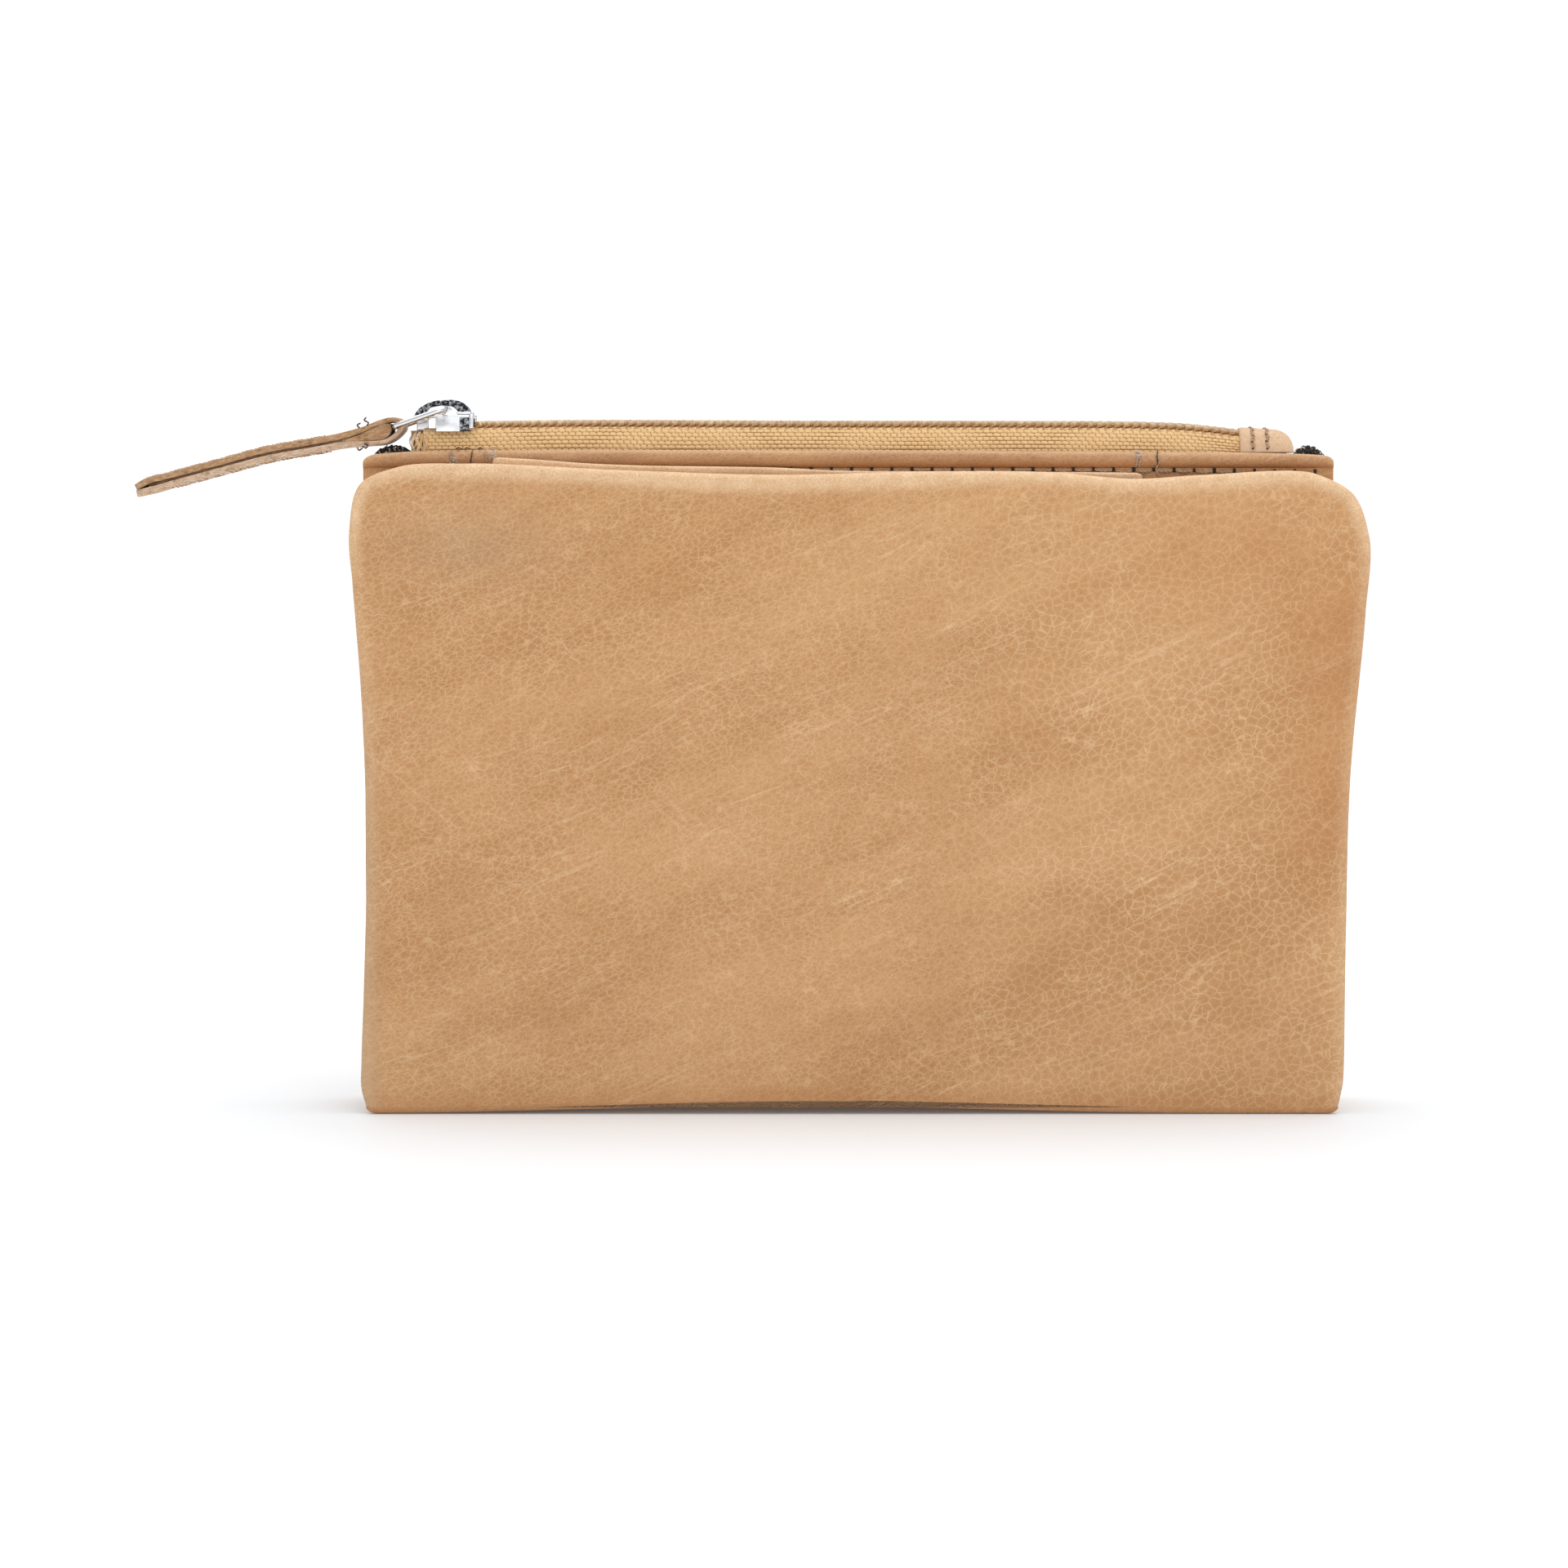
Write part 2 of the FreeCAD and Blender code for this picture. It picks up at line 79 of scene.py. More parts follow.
COVER_LOW, COVER_HIGH = mm_box("front_cover")
BACK_HIGH = mm_box("back_cover")[1]
WALL_LOW, WALL_HIGH = mm_box("pocket_front_wall")
REAR_WALL_HIGH = mm_box("pocket_back_wall")[1]
STRIP_LOW, STRIP_HIGH = mm_box("front_edge_strip")
TAPE_LOW = mm_box("zip_tape_front")[0]
COIL_LOW, COIL_HIGH = mm_box("zip_coil_front")
SLIDER_LOW, SLIDER_HIGH = mm_box("slider_body")
CROWN_LOW, CROWN_HIGH = mm_box("slider_crown")
TAB_LOW, TAB_HIGH = mm_box("zip_end_tab")
SLIP_LOW, SLIP_HIGH = mm_box("slip_pocket_panel")
HINGE = joint_place("cover_hinge")
RING_PIVOT = joint_place("ring_hinge")
RING_FAR = joint_place("strap_hinge")
ZIP_Y = RING_PIVOT[1]


# --- Curves and grids --------------------------------------------------------------------

def smooth_curve(points, steps=24):
    """Points along a smooth curve through the given points."""
    p = np.asarray(points, float)
    chord = np.linalg.norm(np.diff(p, axis=0), axis=1)[:, None]
    slope = np.diff(p, axis=0) / chord
    inner = (slope[1:] * chord[:-1] + slope[:-1] * chord[1:]) / (chord[:-1] + chord[1:])
    tangent = np.vstack([slope[:1], inner, slope[-1:]])
    t = np.linspace(0, 1, steps, endpoint=False)[:, None]
    spans = []
    for i, length in enumerate(chord):
        leave = min(length, 1.5 * chord[max(i - 1, 0)])
        arrive = min(length, 1.5 * chord[min(i + 1, len(chord) - 1)])
        start = (2 * t**3 - 3 * t**2 + 1) * p[i] + (t**3 - 2 * t**2 + t) * leave * tangent[i]
        end = (3 * t**2 - 2 * t**3) * p[i + 1] + (t**3 - t**2) * arrive * tangent[i + 1]
        spans.append(start + end)
    return np.vstack(spans + [p[-1:]])


def run_along(path):
    """Distance from a path's first point, at each of its points."""
    steps = np.linalg.norm(np.diff(path, axis=0), axis=1)
    return np.concatenate([[0], np.cumsum(steps)])

def unit(vectors):
    return vectors / np.linalg.norm(vectors, axis=-1, keepdims=True)

def stack(*axes):
    """Points from their coordinates; a single number stands for all points."""
    return np.stack(np.broadcast_arrays(*axes), -1)

def resample(curve, count):
    """Evenly spaced points along a polyline."""
    along = run_along(curve)
    wanted = np.linspace(0, along[-1], count)
    return np.column_stack([np.interp(wanted, along, axis) for axis in curve.T])


def profile(points):
    """Function of one number that runs smoothly through (number, value) pairs."""
    curve = smooth_curve(sorted(points))
    return lambda x: np.interp(x, curve[:, 0], curve[:, 1])


def smoothstep(low, high, value):
    t = np.clip((value - low) / (high - low), 0, 1)
    return t * t * (3 - 2 * t)


def ripple(x, z, size, seed):
    """Smooth noise from -1 to 1 over the plane, in bumps of about the given size."""
    flat_x, flat_z = np.broadcast_arrays(np.asarray(x, float), np.asarray(z, float))
    values = [
        noise.noise(Vector((a / size, b / size, seed * 7.31)))
        for a, b in zip(flat_x.ravel(), flat_z.ravel())
    ]
    return np.array(values).reshape(flat_x.shape)


def grid_faces(rows, columns, first=0, flip=False):
    corner = first + np.arange(rows - 1)[:, None] * columns + np.arange(columns - 1)
    quads = np.stack([corner, corner + 1, corner + columns + 1, corner + columns], -1)
    quads = quads.reshape(-1, 4)
    return quads[:, ::-1] if flip else quads


# --- Pieces ------------------------------------------------------------------------------

class Builder:
    """Gathers points and faces of one piece, in millimetres."""

    def __init__(self):
        self.points, self.faces, self.slots, self.count = [], [], [], 0
        self.marks = {}

    def add(self, points, faces, slot=0, **marks):
        points = np.asarray(points, float).reshape(-1, 3)
        self.points.append(points)
        self.faces += [[int(i) + self.count for i in face] for face in faces]
        self.slots += [slot] * len(faces)
        for name, values in marks.items():
            self.marks.setdefault(name, []).append(
                (self.count, np.broadcast_to(np.asarray(values, float), (len(points),)))
            )
        self.count += len(points)

    def loft(self, loops, slot=0, caps=True, **marks):
        """Skin over closed loops of the same number of points."""
        loops = np.asarray(loops, float)
        rows, n = loops.shape[:2]
        ring = np.arange(n)
        faces = [
            (r * n + i, r * n + (i + 1) % n, (r + 1) * n + (i + 1) % n, (r + 1) * n + i)
            for r in range(rows - 1) for i in ring
        ]
        if caps:
            faces.append(tuple(ring[::-1]))
            faces.append(tuple((rows - 1) * n + ring))
        self.add(loops.reshape(-1, 3), faces, slot, **marks)

    def tube(self, path, radius, sides=6, slot=0):
        """Round tube along a path; the radius is a number or one number a point."""
        path = np.asarray(path, float)
        radius = np.broadcast_to(np.asarray(radius, float), (len(path),))
        along = unit(np.gradient(path, axis=0))
        side = np.cross(along[0], (0.31, 0.17, 0.93))
        loops = []
        for point, direction, r in zip(path, along, radius):
            side = unit(side - direction * side.dot(direction))
            other = np.cross(direction, side)
            turn = np.linspace(0, 2 * np.pi, sides, endpoint=False)[:, None]
            loops.append(point + r * (np.cos(turn) * side + np.sin(turn) * other))
        self.loft(loops, slot)

    def twist(self, path, radius, turns, plies=2, slot=0):
        """Plied thread along a path."""
        path = np.asarray(path, float)
        along = unit(np.gradient(path, axis=0))
        side = unit(np.cross(along, (0.0, 0.93, 0.35)))
        other = np.cross(along, side)
        share = np.linspace(0, 1, len(path))
        ease = np.minimum(1, np.minimum(share, 1 - share) * 6 + 0.4)[:, None]
        for ply in range(plies):
            turn = (2 * np.pi * (turns * share + ply / plies))[:, None]
            offset = (np.cos(turn) * side + np.sin(turn) * other) * radius * 0.52
            self.tube(path + offset * ease, radius * 0.56 * ease[:, 0], 6, slot)

    def pads(self, centres, across, slot):
        """Small rounded bricks; across holds three half-size vectors for each centre."""
        turn = np.linspace(0, 2 * np.pi, 8, endpoint=False)
        rise = np.linspace(-0.5 * np.pi, 0.5 * np.pi, 7)[1:-1, None]
        shape = stack(np.cos(rise) * np.cos(turn), np.cos(rise) * np.sin(turn), np.sin(rise))
        shape = np.sign(shape) * np.abs(shape) ** 0.7
        for centre, half_sizes in zip(centres, across):
            self.loft(centre + shape @ np.array(half_sizes), slot)

    def piece(self, name, materials, body, replaces=()):
        mesh = bpy.data.meshes.new(name)
        points = np.vstack(self.points) * MM
        mesh.from_pydata(points.tolist(), [], self.faces)
        for material in materials:
            mesh.materials.append(material)
        mesh.polygons.foreach_set("material_index", self.slots)
        mesh.polygons.foreach_set("use_smooth", [True] * len(self.faces))
        for mark, runs in self.marks.items():
            values = np.zeros(self.count, np.float32)
            for first, run in runs:
                values[first:first + len(run)] = run
            mesh.attributes.new(mark, "FLOAT", "POINT").data.foreach_set("value", values)
        mesh.update()
        tidy = bmesh.new()
        tidy.from_mesh(mesh)
        bmesh.ops.recalc_face_normals(tidy, faces=tidy.faces)
        tidy.to_mesh(mesh)
        tidy.free()
        mesh.set_sharp_from_angle(angle=SHARP_ANGLE)
        obj = bpy.data.objects.new(name, mesh)
        bpy.context.scene.collection.objects.link(obj)
        if body:
            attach(obj, body)
        if replaces:
            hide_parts(*replaces)
        return obj


# --- Shaders -----------------------------------------------------------------------------

def colour(red, green, blue):
    """Linear colour from display values between 0 and 255."""
    linear = [((v / 255 + 0.055) / 1.055) ** 2.4 if v > 10 else v / 3294.6
              for v in (red, green, blue)]
    return (*linear, 1.0)


class Shader:
    """Short calls for building one material's node tree. Coordinates are in millimetres."""

    def __init__(self, name):
        self.material = bpy.data.materials.new(name)
        self.material.use_nodes = True
        self.tree = self.material.node_tree
        self.bsdf = self.tree.nodes["Principled BSDF"]
        place = self.node("ShaderNodeTexCoord").outputs["Object"]
        self.place = self.vector("SCALE", place, scale=1 / MM)

    def put(self, socket, value):
        if isinstance(value, bpy.types.NodeSocket):
            self.tree.links.new(value, socket)
        else:
            socket.default_value = value

    def node(self, kind, inputs=None, **settings):
        node = self.tree.nodes.new(kind)
        for key, value in settings.items():
            setattr(node, key, value)
        for key, value in (inputs or {}).items():
            self.put(node.inputs[key], value)
        return node

    def math(self, operation, a, b=0.5, clamp=False):
        node = self.node("ShaderNodeMath", {0: a, 1: b}, operation=operation)
        node.use_clamp = clamp
        return node.outputs[0]

    def times(self, a, b):
        return self.math("MULTIPLY", a, b)

    def plus(self, a, b, clamp=False):
        return self.math("ADD", a, b, clamp)

    def vector(self, operation, a, b=None, scale=None):
        inputs = {0: a}
        if b is not None:
            inputs[1] = b
        if scale is not None:
            inputs["Scale"] = scale
        return self.node("ShaderNodeVectorMath", inputs, operation=operation).outputs[0]

    def mix(self, factor, a, b, blend="MIX"):
        node = self.node("ShaderNodeMix", {0: factor, 6: a, 7: b}, data_type="RGBA")
        node.blend_type = blend
        return node.outputs[2]

    def span(self, value, low, high, to_low=0.0, to_high=1.0):
        inputs = {0: value, 1: low, 2: high, 3: to_low, 4: to_high}
        return self.node("ShaderNodeMapRange", inputs, interpolation_type="SMOOTHSTEP").outputs[0]

    def noise(self, scale, vector=None, detail=3.0, roughness=0.5, output=0):
        inputs = {"Vector": vector or self.place, "Scale": scale, "Detail": detail,
                  "Roughness": roughness}
        return self.node("ShaderNodeTexNoise", inputs).outputs[output]

    def cells(self, size, vector):
        """Distance to the nearest cell edge, in cells."""
        inputs = {"Vector": vector, "Scale": 1 / size}
        return self.node("ShaderNodeTexVoronoi", inputs, feature="DISTANCE_TO_EDGE").outputs[0]

    def turned(self, angle, scale, vector=None):
        """Coordinates turned in the plane of the cover, then scaled."""
        inputs = {"Vector": vector or self.place, "Rotation": (0, math.radians(angle), 0)}
        turned = self.node("ShaderNodeMapping", inputs).outputs[0]
        return self.vector("MULTIPLY", turned, scale)

    def warped(self, amount, scale):
        """Coordinates pushed about by noise."""
        push = self.noise(scale, detail=2.0, output=1)
        push = self.vector("SUBTRACT", push, (0.5, 0.5, 0.5))
        return self.vector("ADD", self.place, self.vector("SCALE", push, scale=amount))

    def mark(self, name):
        """Value painted on the mesh."""
        return self.node("ShaderNodeAttribute", attribute_name=name).outputs["Fac"]

    def bump(self, height, strength, distance_mm):
        inputs = {"Height": height, "Strength": strength, "Distance": distance_mm * MM}
        self.put(self.bsdf.inputs["Normal"], self.node("ShaderNodeBump", inputs).outputs[0])

    def finish(self, base, roughness, **fixed):
        self.put(self.bsdf.inputs["Base Color"], base)
        self.put(self.bsdf.inputs["Roughness"], roughness)
        for name, value in fixed.items():
            self.bsdf.inputs[name.replace("_", " ")].default_value = value
        return self.material


def leather(name, tan, cream, brown, cell=1.0, crackle=0.5, wrinkles=0.5, relief=0.5,
            marked=True):
    """Waxed grain leather: cream crackle over tan, long wrinkles, soft blotches."""
    s = Shader(name)
    loose = s.warped(0.8 * cell, 0.5 / cell)
    side = s.node("ShaderNodeSeparateXYZ", {0: s.place}).outputs[0]
    side = s.plus(side, s.times(s.noise(0.03), 60.0))
    coarse_side = s.span(side, 20.0, 75.0)

    fine_edge = s.cells(1.02 * cell, s.turned(24, (0.7, 1.0, 1.3), loose))
    fine = s.span(fine_edge, 0.0, 0.13, 1.0, 0.0)
    pebble_edge = s.cells(1.5 * cell, s.turned(30, (0.9, 1.0, 1.1), s.warped(1.1 * cell, 0.45 / cell)))
    pebble = s.span(pebble_edge, 0.0, 0.11, 1.0, 0.0)
    hair = s.cells(0.5 * cell, s.turned(18, (0.7, 1.0, 1.3), loose))
    hair = s.span(hair, 0.0, 0.3, 1.0, 0.0)
    left_net = s.math("MAXIMUM", s.times(fine, 0.8), s.times(pebble, 0.3))
    right_net = s.math("MAXIMUM", pebble, s.times(fine, 0.35))
    core = s.node("ShaderNodeMix", {0: coarse_side, 2: fine_edge, 3: pebble_edge}).outputs[0]
    core = s.span(core, 0.1, 0.42)
    net = s.node("ShaderNodeMix", {0: coarse_side, 2: left_net, 3: right_net}).outputs[0]
    worn = s.span(s.noise(0.08, detail=4.0), 0.3, 0.7, 0.6, 1.0)
    net = s.times(net, worn)
    net = s.math("MAXIMUM", net, s.times(hair, 0.22))

    def wrinkle(angle, across, width, seed, mask_scale):
        bent = s.warped(4.0, 0.03)
        lines = s.noise(1.0, s.turned(angle, (0.022, 0.4, across), bent), 1.0)
        lines = s.math("ABSOLUTE", s.math("SUBTRACT", lines, 0.5))
        lines = s.span(lines, 0.0, width, 1.0, 0.0)
        where = s.vector("ADD", s.place, (seed, 0.0, seed * 3.0))
        where = s.noise(mask_scale, s.turned(angle, (0.3, 1.0, 1.0), where), 1.0)
        return s.times(lines, s.span(where, 0.42, 0.66))

    rising = wrinkle(24, 0.75, 0.03, 3.0, 0.08)
    steep = wrinkle(-38, 0.3, 0.012, 40.0, 0.045)
    folds = s.math("MAXIMUM", rising, s.times(steep, 0.5))

    blotch = s.span(s.noise(0.05, s.turned(23, (0.35, 1.0, 1.0), s.warped(14.0, 0.03)), 3.0), 0.34, 0.66)
    patch = s.span(s.noise(0.22, s.turned(23, (0.4, 1.0, 1.2)), 3.0, 0.6), 0.35, 0.7)
    speck = s.noise(3.2, detail=4.0, roughness=0.7)
    tone = s.plus(s.times(blotch, 0.62), s.times(patch, 0.3))
    tone = s.plus(tone, s.times(core, 0.3))
    base = s.mix(tone, tan, brown)
    lines = s.times(net, crackle)
    lines = s.plus(lines, s.times(folds, wrinkles * 0.6), clamp=True)
    base = s.mix(lines, base, cream)
    # Marks painted on the mesh: paler cream along rolled edges and tops, partly stretched leather and
    # partly a painted highlight from the light above; a ruddier brown, which on the mouth strips is
    # painted shade under the roll; and a greyer tone, which is painted shade.
    if marked:
        base = s.mix(s.times(s.mark("ruddy"), 0.6), base, colour(180, 120, 68))
        base = s.mix(s.times(s.mark("grey"), 0.5), base, colour(176, 146, 116))
        base = s.mix(s.mark("pale"), base, s.mix(s.span(speck, 0.35, 0.7), cream, colour(236, 206, 172)))
    shade = s.span(speck, 0.2, 0.8, 0.86, 1.12)
    base = s.mix(1.0, base, s.node("ShaderNodeCombineColor", {0: shade, 1: shade, 2: shade}).outputs[0],
                 "MULTIPLY")
    height = s.math("SUBTRACT", s.times(speck, 0.35), s.plus(net, folds))
    s.bump(height, relief, 0.12)
    gloss = s.span(s.noise(0.5), 0.3, 0.7, 0.49, 0.63)
    return s.finish(base, gloss, Specular_IOR_Level=0.35, Sheen_Weight=0.08, Sheen_Roughness=0.5)


def raw_leather(name, core, fibre, turn=0.0):
    """Cut edge of leather: matted fibres."""
    s = Shader(name)
    fibres = s.noise(1.6, s.turned(turn, (0.5, 1.0, 3.0)), 5.0, 0.7)
    clumps = s.noise(0.9)
    base = s.mix(s.span(fibres, 0.35, 0.68), core, fibre)
    base = s.mix(s.span(clumps, 0.45, 0.75, 0.0, 0.6), base, colour(120, 88, 62))
    s.bump(fibres, 0.8, 0.25)
    return s.finish(base, 0.85, Specular_IOR_Level=0.15, Sheen_Weight=0.25)


def yarn(name, light, dark, scale=3.0, angle=0.0, gloss=0.6):
    """Spun or plied thread."""
    s = Shader(name)
    strands = s.noise(scale, s.turned(angle, (0.5, 1.6, 2.2)), 4.0, 0.65)
    base = s.mix(s.span(strands, 0.3, 0.7), dark, light)
    s.bump(strands, 0.6, 0.08)
    return s.finish(base, gloss, Specular_IOR_Level=0.3, Sheen_Weight=0.3, Sheen_Roughness=0.4)


def woven(name, light, dark):
    """Zip tape: bright floats over grooves darkened with painted shade, which is painted on the mesh."""
    s = Shader(name)
    strands = s.noise(5.0, s.turned(0, (0.35, 1.0, 2.4)), 3.0, 0.6)
    groove = s.span(s.mark("groove"), 0.35, 1.0)
    float_tone = s.mix(s.noise(0.9, detail=2.0), light, colour(242, 208, 156))
    base = s.mix(groove, float_tone, dark)
    base = s.mix(s.span(strands, 0.4, 0.7, 0.0, 0.25), base, dark)
    s.bump(strands, 0.5, 0.05)
    return s.finish(base, 0.62, Specular_IOR_Level=0.3, Sheen_Weight=0.25, Sheen_Roughness=0.4)


def nylon(name, light, dark):
    """Slightly clear monofilament of the zip's coil."""
    s = Shader(name)
    cloud = s.noise(0.8)
    base = s.mix(s.span(cloud, 0.3, 0.7), dark, light)
    s.bump(s.noise(4.0), 0.15, 0.05)
    return s.finish(base, 0.32, Specular_IOR_Level=0.5, Subsurface_Weight=0.12,
                    Subsurface_Scale=0.0006)


def cloth(name, light, dark, pitch=0.22):
    """Fine woven lining."""
    s = Shader(name)
    x, y, z = s.node("ShaderNodeSeparateXYZ", {0: s.place}).outputs
    warp = s.math("SINE", s.times(x, 2 * math.pi / pitch))
    weft = s.math("SINE", s.times(s.plus(z, y), 2 * math.pi / pitch))
    weave = s.times(warp, weft)
    slub = s.noise(0.7, s.turned(0, (0.2, 1.0, 3.0)), 3.0)
    base = s.mix(s.math("MULTIPLY_ADD", weave, 0.25), dark, light)
    base = s.mix(s.span(slub, 0.35, 0.7, 0.0, 0.5), base, light)
    s.bump(s.plus(weave, slub), 0.5, 0.06)
    return s.finish(base, 0.7, Specular_IOR_Level=0.25, Sheen_Weight=0.3)


def board_stock(name):
    s = Shader(name)
    pulp = s.noise(2.0, detail=5.0, roughness=0.7)
    s.bump(pulp, 0.4, 0.1)
    return s.finish(s.mix(pulp, colour(150, 132, 108), colour(186, 170, 146)), 0.9)


def polished(name):
    """Nickel-plated face with faint scratches."""
    s = Shader(name)
    scratch = s.noise(2.5, s.turned(8, (0.15, 1.0, 4.0)), 4.0, 0.7)
    tarnish = s.span(s.noise(0.9), 0.55, 0.9)
    base = s.mix(tarnish, colour(226, 227, 230), colour(150, 149, 148))
    s.bump(scratch, 0.12, 0.03)
    return s.finish(base, s.span(scratch, 0.3, 0.7, 0.1, 0.24), Metallic=1.0)


def cast_metal(name):
    """Rough cast sides of the slider: dark pits between bright worn patches."""
    s = Shader(name)
    pits = s.noise(1.7, s.warped(0.8, 1.4), 4.0, 0.65)
    worn = s.span(pits, 0.44, 0.62)
    base = s.mix(worn, colour(40, 43, 47), colour(186, 189, 194))
    s.bump(pits, 1.0, 0.35)
    return s.finish(base, s.span(worn, 0.0, 1.0, 0.5, 0.2), Metallic=1.0)


def needle_hole_shade(name):
    # Painted shade: a dark brown that stands in for the shade inside needle holes.
    s = Shader(name)
    mottle = s.noise(4.0)
    return s.finish(s.mix(mottle, colour(28, 20, 16), colour(66, 48, 36)), 0.9)


def glowing_floor(name):
    s = Shader(name)
    paper = s.noise(0.05)
    base = s.mix(paper, colour(247, 246, 245), colour(250, 249, 248))
    away = s.node("ShaderNodeVectorMath", {0: s.place}, operation="LENGTH").outputs["Value"]
    # Painted light: tinted cool near the pouch so its shadow reads neutral, and glowing weakly near the
    # pouch and more strongly further out, which paints a darker pool round it.
    base = s.mix(s.span(away, 80.0, 190.0), colour(241, 245, 249), base)
    s.put(s.bsdf.inputs["Emission Color"], (1.0, 1.0, 1.0, 1.0))
    s.put(s.bsdf.inputs["Emission Strength"], s.span(away, 110.0, 600.0, 0.05, 0.42))
    return s.finish(base, 0.6, Specular_IOR_Level=0.15)


CREAM = colour(228, 190, 146)
COVER_LEATHER = leather("cover_leather", colour(203, 154, 104), CREAM, colour(180, 128, 76), crackle=0.68,
                        wrinkles=0.66)
SMOOTH_LEATHER = leather("smooth_leather", colour(219, 177, 133), colour(236, 206, 172),
                         colour(196, 149, 104), cell=0.7, crackle=0.25, wrinkles=0.3,
                         relief=0.35, marked=False)
STRIP_LEATHER = leather("strip_leather", colour(200, 153, 108), colour(226, 188, 148),
                        colour(160, 113, 72), cell=0.8, crackle=0.3, wrinkles=0.5, relief=0.6)
STRAP_LEATHER = leather("strap_leather", colour(205, 163, 116), colour(226, 192, 152),
                        colour(176, 130, 88), cell=0.7, crackle=0.35, wrinkles=0.4,
                        relief=0.6, marked=False)
RAW_EDGE = raw_leather("raw_edge", colour(168, 124, 84), colour(206, 172, 136), 14)
RAW_PALE = raw_leather("raw_pale", colour(196, 160, 128), colour(228, 204, 180), 14)
SEWING_THREAD = yarn("sewing_thread", colour(214, 186, 160), colour(136, 100, 74), 5.0, 30)
NEEDLE_HOLE_SHADE = needle_hole_shade("needle_hole_shade")
TAPE_YARN = yarn("tape_yarn", colour(236, 196, 138), colour(190, 144, 86), 3.5, 4)
TAPE_GROUND = yarn("tape_ground", colour(170, 128, 78), colour(108, 76, 44), 3.0, 0)
COIL_NYLON = nylon("coil_nylon", colour(220, 194, 160), colour(188, 154, 114))
COIL_THREAD = yarn("coil_thread", colour(206, 162, 106), colour(150, 108, 62), 5.0, 40)
BLACK_YARN = yarn("black_yarn", colour(84, 80, 78), colour(20, 19, 20), 5.0, 20, 0.75)
DARK_THREAD = yarn("dark_thread", colour(128, 96, 74), colour(58, 42, 34), 5.0, 30)
GOLD_THREAD = yarn("gold_thread", colour(216, 166, 108), colour(158, 108, 62), 5.0, 30)
PALE_FIBRE = yarn("pale_fibre", colour(240, 228, 214), colour(204, 182, 160), 6.0, 10, 0.8)
GLUE = raw_leather("glue_line", colour(84, 58, 38), colour(128, 92, 62), 14)
PALE_LEATHER = leather("pale_leather", colour(219, 187, 155), colour(230, 204, 178),
                       colour(202, 162, 124), cell=0.6, crackle=0.2, wrinkles=0.2,
                       relief=0.3, marked=False)
TAPE_WEAVE = woven("tape_weave", colour(226, 183, 126), colour(150, 104, 56))
LINING = cloth("lining_cloth", colour(92, 88, 84), colour(52, 50, 48))
BOARD = board_stock("board_stock")
POLISHED = polished("polished_nickel")
CAST = cast_metal("cast_nickel")
FLOOR = glowing_floor("glowing_floor")


# --- Panels ------------------------------------------------------------------------------

def coons(left, right, bottom, top):
    """Grid of points between four boundary curves, rows running from bottom to top."""
    v = np.linspace(0, 1, len(left))[:, None, None]
    u = np.linspace(0, 1, len(bottom))[None, :, None]
    across = (1 - u) * left[:, None] + u * right[:, None]
    up = (1 - v) * bottom[None] + v * top[None]
    low = (1 - u) * left[0] + u * right[0]
    high = (1 - u) * left[-1] + u * right[-1]
    return across + up - (1 - v) * low - v * high


def inward_of(path):
    """Unit vectors to the right of a path, which is into an outline drawn clockwise."""
    run = np.gradient(path, axis=0)
    return unit(stack(run[:, 1], -run[:, 0]))


def roll_profile(roll, thickness, turn_in, hem):
    """(inset, depth) round a rolled edge: over the edge, along the turned-in hem, back in."""
    over = [(roll * (1 - math.sin(a)), -roll * (1 - math.cos(a)))
            for a in np.radians(np.arange(15, 181, 15))]
    depth = -2 * roll
    under = [(turn_in * 0.4, depth), (turn_in * 0.8, depth), (turn_in, depth + 0.08),
             (turn_in + 0.15, depth + hem * 0.5), (turn_in, depth + hem),
             (roll * 1.4, depth + hem), (roll * 0.75, 0.5 * (depth + hem - thickness)),
             (roll * 1.04, -thickness)]
    return over + under


def slab_profile(thickness, soft=0.45):
    """(inset, depth) round the softened edge of a plain slab."""
    radius = thickness / 2
    return [(soft * radius * (1 - math.sin(a)) * 2, -radius * (1 - math.cos(a)))
            for a in np.radians((30, 60, 90, 120, 150, 180))]


